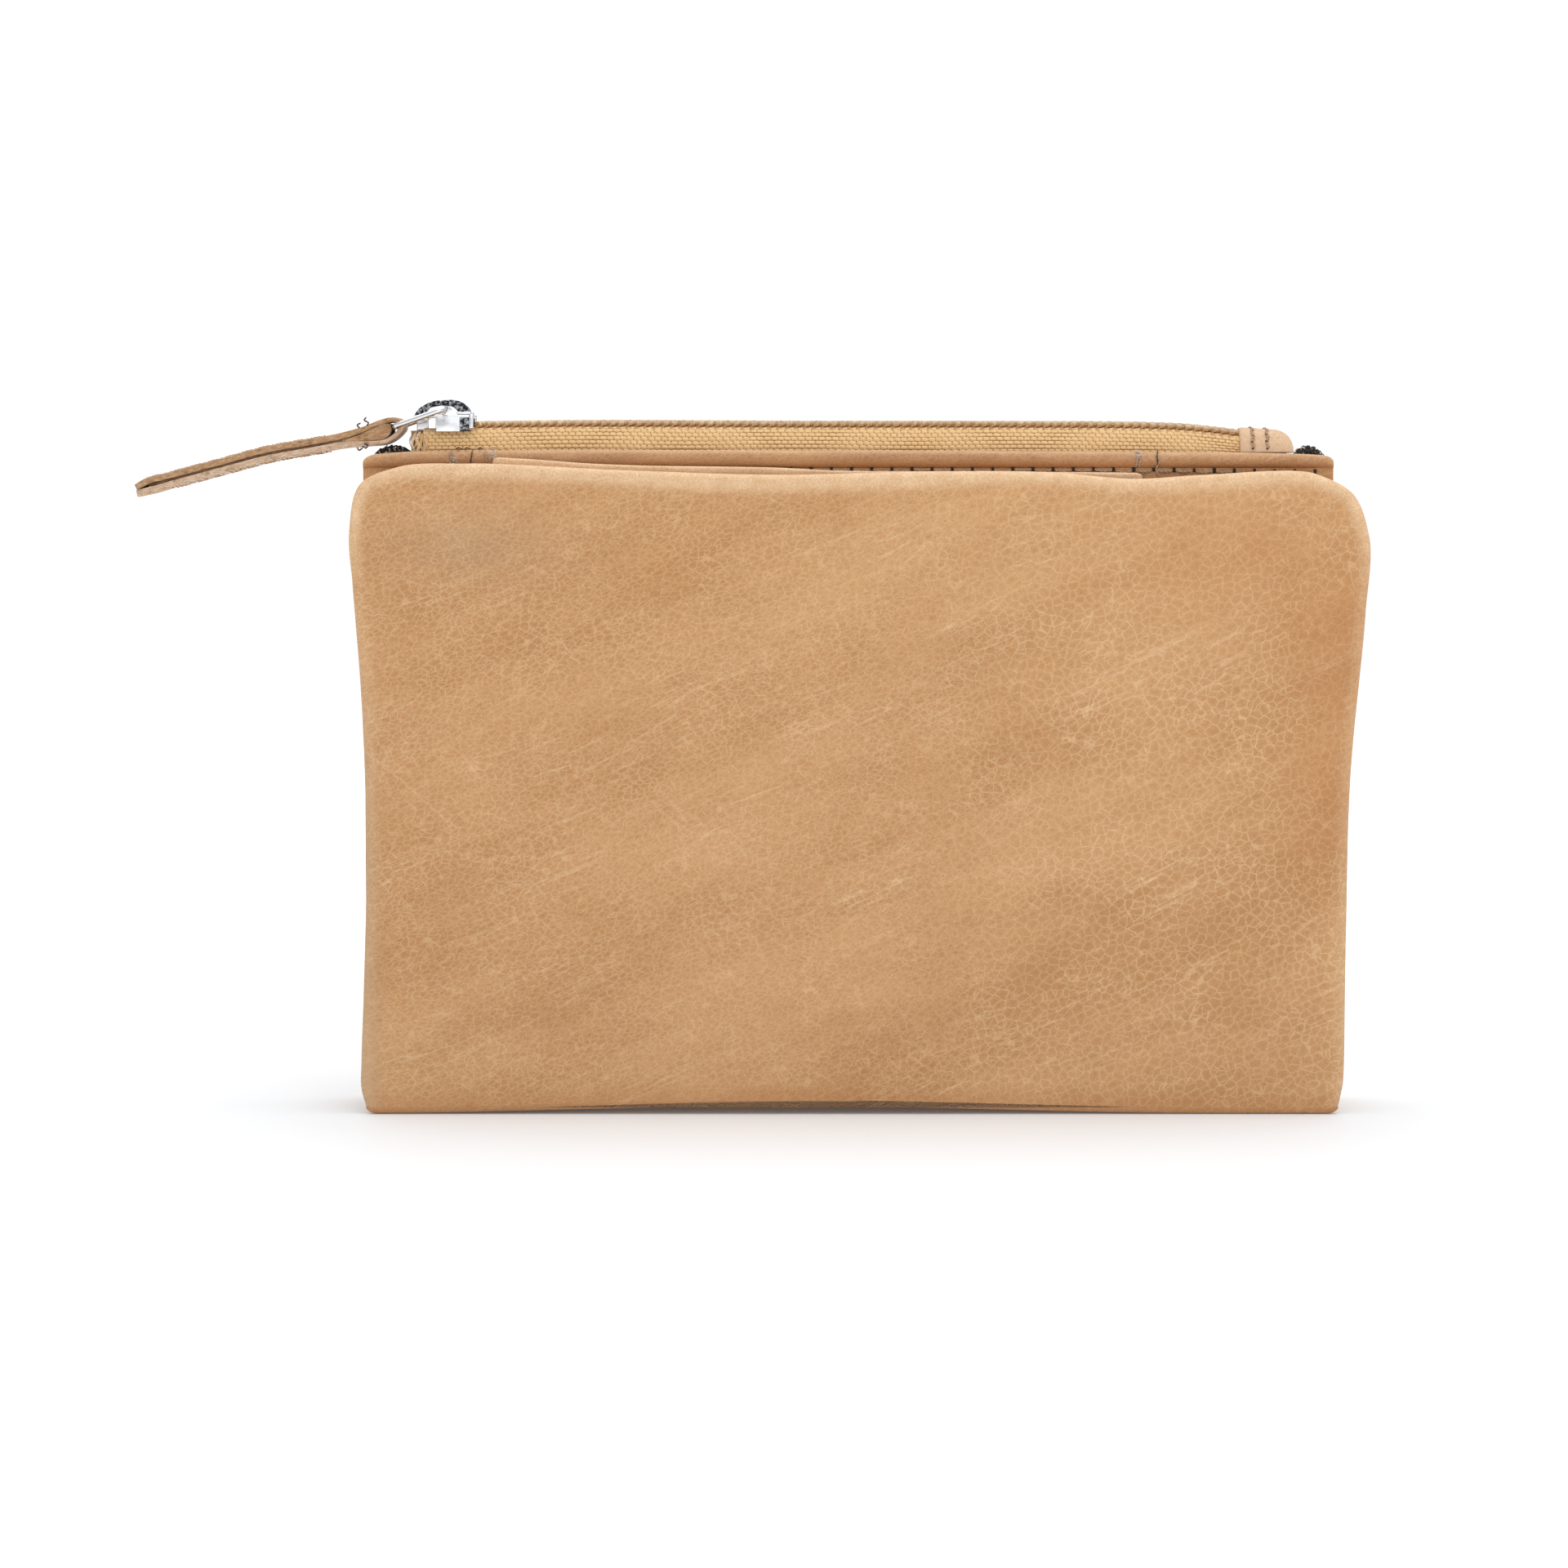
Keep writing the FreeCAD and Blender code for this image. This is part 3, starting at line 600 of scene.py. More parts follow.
def panel(builder, outline, corners, edge, place, cell, inset=0.0, foot=None, marks=None):
    """Closed panel whose edge follows a profile on three sides and is cut square at the foot.

    outline runs from the left foot up, across and down to the right foot; corners are the
    indexes of the two points where its sides meet its top. place(x, s, n) gives the spot in
    space of a point x across, s up the panel and n out of its face. A lining or board takes
    the same outline, inset and starting further up.
    """
    steps = 24
    curve = smooth_curve(outline, steps)
    a, b = corners[0] * steps, corners[1] * steps
    if inset:
        curve = curve + inset * inward_of(curve)
    if foot is not None:
        kept = np.flatnonzero(curve[:, 1] > foot)
        curve = curve[kept[0]:kept[-1] + 1].copy()
        a, b = a - kept[0], b - kept[0]
        curve[[0, -1], 1] = foot
    side_length = np.linalg.norm(np.diff(curve[:a + 1], axis=0), axis=1).sum()
    top_length = np.linalg.norm(np.diff(curve[a:b + 1], axis=0), axis=1).sum()
    rows, columns = int(side_length / cell) + 2, int(top_length / cell) + 2
    left = resample(curve[:a + 1], rows)
    top = resample(curve[a:b + 1], columns)
    right = resample(curve[b:], rows)[::-1]
    path = np.vstack([left, top[1:-1], right[::-1]])
    inward = inward_of(path)
    inward[0], inward[-1] = (1, 0), (-1, 0)

    start = edge[-1][0]
    edge_path = path + inward * start
    first, last = edge_path[:rows], edge_path[-rows:][::-1]
    ceiling = edge_path[rows - 1:len(path) - rows + 1]
    floor = np.linspace(first[0], last[0], columns)
    floor[:, 1] = left[0][1]
    grid = coons(first, last, floor, ceiling)

    x, s = grid[..., 0].ravel(), grid[..., 1].ravel()
    n_grid = rows * columns
    points = [place(x, s, np.zeros(n_grid)), place(x, s, np.full(n_grid, edge[-1][1]))]
    spots = [(x, s), (x, s)]
    for inset, depth in edge[:-1]:
        ring = path + inward * inset
        points.append(place(ring[:, 0], ring[:, 1], np.full(len(ring), depth)))
        spots.append((ring[:, 0], ring[:, 1]))

    index = np.arange(n_grid).reshape(rows, columns)
    border = np.concatenate([index[:, 0], index[-1, 1:-1], index[::-1, -1]])
    count = len(path)
    rings = [border]
    rings += [2 * n_grid + k * count + np.arange(count) for k in range(len(edge) - 1)]
    rings += [border + n_grid]
    faces = [tuple(f) for f in grid_faces(rows, columns)]
    faces += [tuple(f) for f in grid_faces(rows, columns, n_grid, flip=True)]
    for one, other in zip(rings, rings[1:]):
        faces += list(zip(one[:-1], other[:-1], other[1:], one[1:]))
    foot = list(index[0]) + [ring[-1] for ring in rings[1:-1]]
    foot += list((index[0] + n_grid)[::-1]) + [ring[0] for ring in rings[-2:0:-1]]
    faces.append(tuple(foot))
    points = np.vstack(points)
    x = np.concatenate([spot[0] for spot in spots])
    s = np.concatenate([spot[1] for spot in spots])
    painted = marks(x, s, resample(curve, 900)) if marks else {}
    builder.add(points, faces, **painted)


def distance_to(x, z, curve):
    """Distance of points from a polyline's points, worked in batches."""
    spots = stack(x, z)
    found = [
        np.sqrt(((batch[:, None] - curve[None]) ** 2).sum(-1)).min(1)
        for batch in np.array_split(spots, max(1, len(spots) // 2000))
    ]
    return np.concatenate(found)


# --- Cover leather: front, fold and back with spine --------------------------------------

ROLL = 1.25                 # radius of the rolled edges
COVER_THICKNESS = COVER_HIGH[1] - COVER_LOW[1]
FOLD_RADIUS = HINGE[1] - COVER_LOW[1]
FOLD_FOOT = HINGE[2]        # height at which the front face starts above the fold
BACK_RADIUS = 2.5
LEFT, RIGHT = COVER_LOW[0], COVER_HIGH[0]
TOP = COVER_HIGH[2]
COVER_EDGE = roll_profile(ROLL, COVER_THICKNESS, 6.0, 0.5)


def arch(x):
    """Height of the spine above the table: its middle is drawn up a little."""
    return 1.3 * np.cos(np.clip((x + 12) / 78, -1, 1) * np.pi / 2) ** 2


def front_relief(x, z):
    """How far the front face stands out of its plane."""
    inside = smoothstep(0, 14, x - LEFT) * smoothstep(0, 14, RIGHT - x) * smoothstep(0, 10, TOP - z)
    swell = 0.35 * inside * smoothstep(0, 20, z)
    waves = 0.28 * ripple(x, z * 1.2, 30, 1) + 0.1 * ripple(x * 0.6 + z * 0.35, z - x * 0.3, 7, 2)
    dent = -0.5 * np.exp(-((x + 58) / 22) ** 2 - ((z - TOP + 6.5) / 3.5) ** 2)
    edge_bumps = 0.25 * ripple(x, z, 5, 3) * smoothstep(6, 0, x - LEFT)
    return (swell + waves + dent + edge_bumps) * smoothstep(FOLD_FOOT, FOLD_FOOT + 8, z)


def front_place(x, s, n):
    z = s + arch(x) * smoothstep(26, FOLD_FOOT, s)
    y = COVER_LOW[1] - n - front_relief(x, s)
    return stack(x, y, z)


FRONT_OUTLINE = [
    (-84.1, FOLD_FOOT), (-84.9, 4.2), (-84.9, 9.0), (-84.3, 24.0), (-83.8, 45.0), (-84.5, 72.0),
    (-85.9, 91.5), (-86.4, 100.0), (-84.3, 108.6), (-78.0, 111.3), (-66.0, 111.9),
    (-40.0, 110.8), (-14.0, 110.0), (15.0, 110.6), (34.0, 110.4), (48.0, 109.3),
    (60.0, 110.0), (79.0, 110.1), (85.4, 106.6), (88.1, 99.5), (87.6, 86.0),
    (85.3, 59.0), (84.7, 30.0), (84.4, 5.0), (83.6, FOLD_FOOT),
]
FRONT_CORNERS = (8, 18)


def front_marks(x, z, curve):
    """Marks on the front: paler along the edges where the leather is stretched, with a painted highlight
    along the top; darker and ruddier at the right, the upper right and the foot; and greyish painted
    shade down the lower left edge and under the top roll at the left.
    """
    away = distance_to(x, z, curve)
    width = 1.9 + 0.9 * ripple(x, 0, 28, 5) + 0.9 * np.exp(-((x + 20) / 30) ** 2)
    # Painted highlight: a paler band along the top, lit from above, partly the stretched leather of the
    # roll.
    high = smoothstep(84, 104, z)
    top_pale_and_highlight = high * smoothstep(width + 1.4, width - 1.0, away)
    side_pale = 0.35 * smoothstep(3.0, 0.5, away) * (1 - high)
    pale = np.maximum(top_pale_and_highlight, side_pale) * (0.72 + 0.28 * ripple(x, z, 2.0, 6))
    right_edge = smoothstep(22, 2, RIGHT - x) * smoothstep(28, 50, z) * smoothstep(96, 80, z)
    upper_right = np.exp(-((x - 72) / 22) ** 2 - ((z - 96) / 10) ** 2)
    foot = 0.8 * smoothstep(5.0, 1.2, z)
    ruddy = np.clip(right_edge + 0.7 * upper_right + foot, 0, 1) * (0.75 + 0.4 * ripple(x, z, 9, 7))
    # Painted shade: greyer down the lower left edge and in a patch under the top roll at the left.
    grey = smoothstep(7, 0.5, x - LEFT) * smoothstep(85, 50, z)
    grey += 0.7 * np.exp(-((x + 66) / 14) ** 2 - ((z - 98) / 6) ** 2)
    return {"pale": np.clip(pale, 0, 1), "ruddy": np.clip(ruddy, 0, 1), "grey": np.clip(grey, 0, 1)}


def make_front_cover():
    b = Builder()
    panel(b, FRONT_OUTLINE, FRONT_CORNERS, COVER_EDGE, front_place, 0.75, marks=front_marks)
    b.piece("front_cover_leather", [COVER_LEATHER], "front_cover",
            replaces=["front_cover"])


SPINE_RUN = BACK_HIGH[1] - BACK_RADIUS - HINGE[1]
CORNER_RUN = BACK_RADIUS * math.pi / 2
BACK_DROP = 1.9             # the back is cut a little smaller than the front
BACK_START = SPINE_RUN + CORNER_RUN - BACK_RADIUS


def back_place(x, s, n):
    """Spine from the hinge to the back, round the corner, then up the back."""
    n = n + 0.25 * ripple(x, s, 24, 12) * smoothstep(SPINE_RUN + 6, SPINE_RUN + 20, s)
    n = n + 0.5 * smoothstep(SPINE_RUN + 6, SPINE_RUN + 30, s) * smoothstep(2, 20, 84 - np.abs(x))
    turn = np.clip((s - SPINE_RUN) / BACK_RADIUS, 0, math.pi / 2)
    reach = np.where(turn > 0, np.maximum(BACK_RADIUS + n, 0.05), BACK_RADIUS + n)
    y = HINGE[1] + np.minimum(s, SPINE_RUN) + reach * np.sin(turn)
    z = BACK_RADIUS - reach * np.cos(turn) + np.maximum(s - SPINE_RUN - CORNER_RUN, 0)
    flat = smoothstep(10, 0, s)
    return stack(x, y, z + arch(x) * flat)


BACK_OUTLINE = [
    (-83.2, 0.0), (-83.9, 5.0), (-84.3, SPINE_RUN + 2), (-84.2, BACK_START + 40.0),
    (-84.6, BACK_START + 75.0), (-85.2, BACK_START + 97.0),
    (-83.4, BACK_START + TOP - BACK_DROP - 2.8), (-76.0, BACK_START + TOP - BACK_DROP),
    (-30.0, BACK_START + TOP - BACK_DROP), (20.0, BACK_START + TOP - BACK_DROP - 0.6),
    (76.0, BACK_START + TOP - BACK_DROP - 1.4), (83.4, BACK_START + TOP - BACK_DROP - 4.4),
    (86.2, BACK_START + 96.0), (85.6, BACK_START + 76.0), (84.2, BACK_START + 42.0),
    (83.7, SPINE_RUN + 2), (83.4, 5.0), (82.6, 0.0),
]
BACK_CORNERS = (6, 11)


def back_marks(x, s, curve):
    away = distance_to(x, s, curve)
    z = s - BACK_START
    # Paler along the edges, partly stretched leather, and more towards the top as a painted highlight
    # from the light above.
    pale = smoothstep(3.4, 1.0, away) * (0.4 + 0.5 * smoothstep(80, 104, z))
    # Painted shade: greyer on the spine, the underside the pouch stands on.
    spine = 0.5 * smoothstep(SPINE_RUN + 5, SPINE_RUN, s)
    ruddy = 0.5 + 0.8 * ripple(x, s, 26, 8)
    return {"pale": np.clip(pale, 0, 1), "ruddy": np.clip(ruddy * 0.6, 0, 1), "grey": spine}


def make_back_cover():
    b = Builder()
    panel(b, BACK_OUTLINE, BACK_CORNERS, COVER_EDGE, back_place, 0.85, marks=back_marks)
    b.piece("back_cover_leather", [COVER_LEATHER], "pouch",
            replaces=["back_cover", "cover_spine"])


def make_cover_fold():
    """Quarter round of leather between the spine and the front."""
    foot_left, foot_right = FRONT_OUTLINE[0][0], FRONT_OUTLINE[-1][0]
    under_left, under_right = BACK_OUTLINE[0][0], BACK_OUTLINE[-1][0]
    inset, depth = COVER_EDGE[-1]
    across = np.linspace(foot_left + inset, foot_right - inset, 200)
    outer = [(x, 0.0) for x in across]
    right = [(foot_right - i, d) for i, d in COVER_EDGE[:-1]]
    inner = [(x, depth) for x in across[::-1]]
    left = [(foot_left + i, d) for i, d in COVER_EDGE[-2::-1]]
    x, n = np.array(outer + right + inner + left).T
    radius = FOLD_RADIUS + n * (FOLD_RADIUS - 0.1) / (2 * ROLL)
    b = Builder()
    loops = []
    for turn in np.radians(np.linspace(0, 90, 13)):
        y = HINGE[1] - radius * math.sin(turn)
        z = HINGE[2] - radius * math.cos(turn) + arch(x)
        tuck = (1 - math.sin(turn)) * np.interp(
            x, (foot_left, foot_left + 8, foot_right - 8, foot_right),
            (under_left - foot_left, 0, 0, under_right - foot_right))
        loops.append(stack(x + tuck, y, z))
    # Painted shade: the fold under the front's foot is painted ruddier and greyer.
    b.loft(loops, ruddy=0.8, grey=0.3)
    fold = b.piece("cover_fold_leather", [COVER_LEATHER], None)
    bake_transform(fold)


make_front_cover()
make_back_cover()
make_cover_fold()


# --- Small helpers for thread and hardware -----------------------------------------------

SEAM_PITCH, SEAM_THREAD = 3.4, 0.2    # millimetres between stitches, and half a thread


def stitches(builder, path, pitch, radius, out, turns=2.0, lift=0.15, droop=0.0, holes=None):
    """Row of plied stitches; out points away from the surface, holes is a slot for small dark pads of
    painted shade in the needle holes.
    """
    path = np.asarray(path, float)
    run = run_along(path)
    count = max(1, int(round(run[-1] / pitch)))
    spot = lambda share: np.column_stack([np.interp(share * run[-1], run, a) for a in path.T])
    out = np.asarray(out, float)
    for i in range(count):
        t = np.linspace(0.06, 0.94, 15)
        points = spot((i + t) / count)
        bow = np.sin(np.pi * t)[:, None]
        points += out * bow * lift * rng.uniform(0.8, 1.2)
        points[:, 2] -= bow[:, 0] * droop * rng.uniform(0.6, 1.3)
        builder.twist(points, radius * rng.uniform(0.9, 1.1), turns)
    if holes is not None:
        # Small dark pads at the needle holes, painted shade.
        centres = spot(np.arange(count + 1) / count)
        along = (path[-1] - path[0]) / np.linalg.norm(path[-1] - path[0])
        over = np.cross(along, out)
        sizes = [(along * rng.uniform(0.9, 1.3) * radius, over * rng.uniform(1.2, 1.8) * radius,
                  out * 0.16) for _ in centres]
        builder.pads(centres, sizes, holes)


def rounded_prism(builder, outline, axis, low, high, bevel, slot=0, window=None):
    """Flat part with softened rims, drawn in the plan (axis z) or from the front (axis y)."""
    def tidy_outline(points):
        points = np.asarray(points, float)
        curve = resample(np.vstack([points, points[:1]]), 73)[:-1]
        x, y = curve.T
        area = np.sum(x * np.roll(y, -1) - np.roll(x, -1) * y)
        curve = curve if area > 0 else curve[::-1]
        start = np.argmax(curve[:, 0] - 0.2 * curve[:, 1])
        curve = np.roll(curve, -start, axis=0)
        run = np.roll(curve, -1, 0) - np.roll(curve, 1, 0)
        return curve, unit(stack(-run[:, 1], run[:, 0]))

    def loop(curve, inward, inset, height):
        u, v = (curve + inward * inset).T
        return stack(u, v, height) if axis == "z" else stack(u, height, v)

    curve, inward = tidy_outline(outline)
    angles = np.radians((0, 30, 60, 90))
    rim = [(bevel * (1 - math.sin(a)), bevel * (1 - math.cos(a))) for a in angles]
    loops = [loop(curve, inward, inset, low + rise) for inset, rise in rim]
    loops += [loop(curve, inward, inset, high - rise) for inset, rise in rim[::-1]]
    if window is not None:
        hole, hole_inward = tidy_outline(window)
        loops += [loop(hole, -hole_inward, inset, high - rise) for inset, rise in rim]
        loops += [loop(hole, -hole_inward, inset, low + rise) for inset, rise in rim[::-1]]
        loops.append(loops[0])
    builder.loft(loops, slot, caps=window is None)


def closed_tube(builder, path, radius, sides):
    """Round tube along a flat closed path."""
    path = np.asarray(path, float)
    along = unit(np.roll(path, -1, 0) - np.roll(path, 1, 0))
    flat = unit(np.cross(path[1] - path[0], path[len(path) // 3] - path[0]))
    side = np.cross(along, flat)
    turn = np.linspace(0, 2 * np.pi, sides, endpoint=False)
    loops = [
        point + radius * (np.cos(turn)[:, None] * s + np.sin(turn)[:, None] * flat)
        for point, s in zip(path, side)
    ]
    builder.loft(loops + loops[:1], caps=False)


def rounded_corners(corners, radius, steps=8):
    """Closed path through corner points, each rounded off."""
    corners = np.asarray(corners, float)
    path = []
    for before, corner, after in zip(np.roll(corners, 1, 0), corners, np.roll(corners, -1, 0)):
        a, c = unit(before - corner), unit(after - corner)
        for t in np.linspace(0, 1, steps):
            path.append(corner + radius * ((1 - t) ** 2 * a + t**2 * c))
    return np.array(path)


# --- Inside of the cover -----------------------------------------------------------------

def sunk(place, depth):
    """The same surface, a depth below the leather's face."""
    return lambda x, s, n: place(x, s, n - depth)


def make_cover_insides():
    leather_depth, board, lining = COVER_THICKNESS, 0.7, 0.6
    foot = mm_box("front_cover_board")[0][2]
    for name, outline, corners, place, body, low in (
        ("front_cover", FRONT_OUTLINE, FRONT_CORNERS, front_place, "front_cover", foot),
        ("back_cover", BACK_OUTLINE, BACK_CORNERS, back_place, "pouch", BACK_START + 3.0),
    ):
        b = Builder()
        panel(b, outline, corners, slab_profile(board), sunk(place, leather_depth), 3.0,
              inset=2.0, foot=low)
        b.piece(name + "_stiffener", [BOARD], body, replaces=[name + "_board"])

    b = Builder()
    panel(b, FRONT_OUTLINE, FRONT_CORNERS, slab_profile(lining), sunk(front_place, 2.0), 2.0,
          inset=5.2, foot=foot)
    front_lining = b.piece("front_cover_cloth", [LINING], "front_cover",
                           replaces=["front_cover_lining"])

    b = Builder()
    panel(b, BACK_OUTLINE, BACK_CORNERS, slab_profile(lining), sunk(back_place, 1.95), 1.6,
          inset=5.2, foot=1.6)
    back_lining = b.piece("back_cover_cloth", [LINING], "pouch",
                          replaces=["back_cover_lining", "spine_lining"])

    b = Builder()
    across = np.linspace(FRONT_OUTLINE[0][0] + 5.4, FRONT_OUTLINE[-1][0] - 5.4, 120)
    path = resample(smooth_curve([(-9.05, foot + 6.5), (-9.2, foot + 0.4), (-9.3, 4.6), (-9.25, 3.0),
                                  (-8.95, 2.2),
                                  (-8.1, 1.9)], 6), 20)
    near = path + (0.12, 0.12)
    section = np.vstack([path, near[::-1]])
    loops = [stack(x, section[:, 0], section[:, 1] + arch(x)) for x in across]
    b.loft(loops)
    hinge_cloth = b.piece("hinge_cloth", [LINING], None)
    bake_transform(hinge_cloth)


def slot_outline(low, high, radius=1.2):
    (x0, z0), (x1, z1) = low, high
    return [(x0, z0), (x0, z0 + 0.5 * (z1 - z0)), (x0, z1 - radius),
        (x0 + 0.3 * radius, z1 - 0.3 * radius),
            (x0 + radius, z1), (0.5 * (x0 + x1), z1), (x1 - radius, z1),
            (x1 - 0.3 * radius, z1 - 0.3 * radius), (x1, z1 - radius), (x1, z0 + 0.5 * (z1 - z0)),
            (x1, z0)]


def make_card_slots():
    for i in range(4):
        node = "cover_slot_%d" % (i + 1)
        low, high = mm_box(node)
        b = Builder()
        depth = low[1] - COVER_LOW[1]
        hem = lambda x, s, n, depth=depth, top=high[2]: front_place(
            x, s, n * (1 + 0.3 * smoothstep(top - 4.2, top - 3.8, s)) - depth)
        panel(b, slot_outline((low[0], low[2]), (high[0], high[2])), (3, 7),
              slab_profile(high[1] - low[1]), hem, 1.6)
        b.piece("card_slot_%d" % (i + 1), [SMOOTH_LEATHER], "front_cover",
                replaces=[node])
    low, high = mm_box("cover_slot_stitching")
    b = Builder()
    for x in (low[0] + 0.2, 0.5 * (low[0] + high[0]), high[0] - 0.2):
        z = np.linspace(low[2], high[2] + 0.5, 40)
        depth = mm_box("cover_slot_4")[1][1] - COVER_LOW[1]
        row = front_place(np.full(40, x), z, np.full(40, -depth - 0.12))
        stitches(b, row, SEAM_PITCH, SEAM_THREAD, (0, 1, 0), holes=1)
    b.piece("card_slot_stitches", [SEWING_THREAD, NEEDLE_HOLE_SHADE], "front_cover",
            replaces=["cover_slot_stitching"])


# --- Zipped compartment ------------------------------------------------------------------

def make_walls():
    """Both walls and the bottom of the compartment, one sheet folded like a U."""
    low, high = WALL_LOW, REAR_WALL_HIGH
    radius = 2.6

    def u_path(depth, floor_depth):
        front, rear, foot = low[1] + depth, high[1] - depth, low[2] + floor_depth
        r = radius - depth
        bend = np.radians(np.linspace(0, 90, 7))
        down = [(front, z) for z in np.linspace(WALL_HIGH[2], foot + r + 2, 46)]
        first = [(front + r * (1 - math.cos(a)), foot + r * (1 - math.sin(a))) for a in bend]
        second = [(rear - r * (1 - math.sin(a)), foot + r * (1 - math.cos(a))) for a in bend]
        up = [(rear, z) for z in np.linspace(foot + r + 2, WALL_HIGH[2], 46)]
        return np.array(down + first + second + up)

    b = Builder()
    section = np.vstack([u_path(0, 0), u_path(1.2, 1.0)[::-1]])
    middle = section.mean(0)
    across = np.linspace(low[0], high[0], 150)
    loops = []
    for x in across:
        rub = min(x - low[0], high[0] - x)
        y, z = section.T
        soften = 0.25 * math.exp(-rub / 0.4)
        y = y + soften * np.sign(middle[0] - y) * (np.abs(y - middle[0]) > 5)
        loops.append(stack(x, y, z))
    b.loft(loops, ruddy=0.35)
    b.piece("compartment_walls", [COVER_LEATHER], "pouch",
            replaces=["pocket_front_wall", "pocket_back_wall", "pocket_bottom_fold"])

def make_gussets():
    for node in ("gusset_left", "gusset_right"):
        low_g, high_g = mm_box(node)
        side = 1 if node == "gusset_left" else -1
        edge = low_g[0] if side > 0 else high_g[0]
        fold = smooth_curve([(edge + side * 0.1, low_g[1]), (edge + side * 0.9, ZIP_Y - 3.0),
                             (edge + side * 2.0, ZIP_Y), (edge + side * 0.9, ZIP_Y + 3.0),
                             (edge + side * 0.1, high_g[1])], 6)
        section = np.vstack([fold, (fold + (side * 0.8, 0))[::-1]])
        b = Builder()
        b.loft([stack(*section.T, z) for z in np.linspace(low_g[2], high_g[2], 50)])
        b.piece(node + "_fold", [SMOOTH_LEATHER], "pouch", replaces=[node])


def make_lining_bag():
    low_l, high_l = mm_box("pocket_lining_front")[0], mm_box("pocket_lining_back")[1]

    def bag_loop(inset, z):
        x0, x1 = low_l[0] + inset, high_l[0] - inset
        y0, y1 = low_l[1] + inset, high_l[1] - inset
        nook = 2.4
        corners = [(x0 + 1, y0), (x1 - 1, y0), (x1 + 0.2, y0 + 1), (x1 - nook, ZIP_Y),
                   (x1 + 0.2, y1 - 1), (x1 - 1, y1), (x0 + 1, y1), (x0 - 0.2, y1 - 1),
                   (x0 + nook, ZIP_Y), (x0 - 0.2, y0 + 1), (x0 + 1, y0)]
        loop = resample(np.array(corners, float), 300)[:-1]
        return stack(*loop.T, z)

    rows = np.linspace(low_l[2], high_l[2], 40)
    loops = [bag_loop(0, z) for z in rows] + [bag_loop(0.45, z) for z in rows[:0:-1]]
    loops.append(bag_loop(0.45, rows[0] + 0.45))
    b = Builder()
    b.loft(loops)
    bag = b.piece("compartment_lining", [LINING], "pouch",
                  replaces=["pocket_lining_front", "pocket_lining_back"])


def make_side_seams():
    low_s, high_s = mm_box("pocket_side_stitching")
    b = Builder()
    for x in (low_s[0] + 0.2, high_s[0] - 0.2):
        y = WALL_LOW[1] - 0.12
        stitches(b, [(x, y, low_s[2]), (x, y, high_s[2])], SEAM_PITCH, SEAM_THREAD, (0, -1, 0), holes=1)
    b.piece("side_seam_stitches", [SEWING_THREAD, NEEDLE_HOLE_SHADE], "pouch",
            replaces=["pocket_side_stitching"])


# --- Rolled strips along the mouth -------------------------------------------------------

CREASE = WALL_HIGH[2] - 0.25
strip_height = profile([(-84.4, 2.0), (-82.5, 2.35), (-76.6, 2.75), (-68.6, 2.95), (-30, 3.05),
                        (20, 2.95), (50, 2.75), (66, 2.6), (78, 2.4), (82.5, 2.1)])


def strip_loops(side):
    """Sections along a strip; side is -1 for the front strip and +1 for the rear one."""
    section = np.array([(0.0, 0.0), (0.42, 0.1), (0.62, 0.24), (0.68, 0.42), (0.62, 0.62), (0.42, 0.8),
                        (0.1, 0.94), (-0.25, 1.0), (-0.6, 0.93), (-0.82, 0.75), (-0.9, 0.5),
                        (-0.9, 0.0)])
    section = smooth_curve(section, 4)
    y_zero = WALL_LOW[1] if side < 0 else REAR_WALL_HIGH[1]
    low, high = STRIP_LOW[0], STRIP_HIGH[0]
    ends = 1.9
    xs = np.concatenate([low + ends * (1 - np.cos(np.linspace(0.15, np.pi / 2, 9))),
                         np.arange(low + ends + 0.4, high - ends, 0.5),
                         high - ends * (1 - np.cos(np.linspace(np.pi / 2, 0.15, 9)))])
    loops, marks = [], {"pale": [], "ruddy": []}
    for x in xs:
        gap = min(x - low, high - x)
        fall = math.sqrt(max(0.0, 1 - max(0.0, 1 - gap / ends) ** 2))
        tall = float(strip_height(x)) * (0.55 + 0.45 * fall)
        swell = 1 + 0.18 * float(ripple(x, 0, 9, 21)) + 0.1 * float(ripple(x, 5, 3, 22))
        out = section[:, 0] * np.where(section[:, 0] > 0, swell, 1.0) * (0.5 + 0.5 * fall)
        wave = 0.12 * float(ripple(x, 9, 12, 23))
        z = CREASE + section[:, 1] * (tall + wave)
        loops.append(stack(x, y_zero + side * out, z))
        top = section[:, 1]
        # Painted highlight along the top of the roll and painted shade towards its lower side.
        marks["pale"].append(0.4 * smoothstep(0.72, 0.95, top) * (0.7 + 0.3 * float(ripple(x, 3, 6, 24))))
        marks["ruddy"].append(smoothstep(0.7, 0.15, top))
    return loops, {name: np.concatenate(values) for name, values in marks.items()}


def make_strips():
    for side, node in ((-1, "front_edge_strip"), (1, "rear_edge_strip")):
        b = Builder()
        loops, marks = strip_loops(side)
        b.loft(loops, **marks)
        name = "front_mouth_strip" if side < 0 else "rear_mouth_strip"
        b.piece(name, [STRIP_LEATHER], "pouch", replaces=[node])

    for side, node in ((-1, "front_edge_stitching"), (1, "rear_edge_stitching")):
        low, high = mm_box(node)
        y = (WALL_LOW[1] - 0.2) if side < 0 else (REAR_WALL_HIGH[1] + 0.2)
        x = np.linspace(low[0], high[0], 60)
        z = CREASE - 0.15 - 0.012 * np.maximum(x - 40, 0)
        b = Builder()
        row = stack(x, y, z)
        stitches(b, row, 3.43, 0.27, (0, side, 0), turns=2.2, lift=0.12, droop=0.42, holes=1)
        b.piece(node.replace("edge", "strip"), [SEWING_THREAD, NEEDLE_HOLE_SHADE], "pouch",
                replaces=[node])


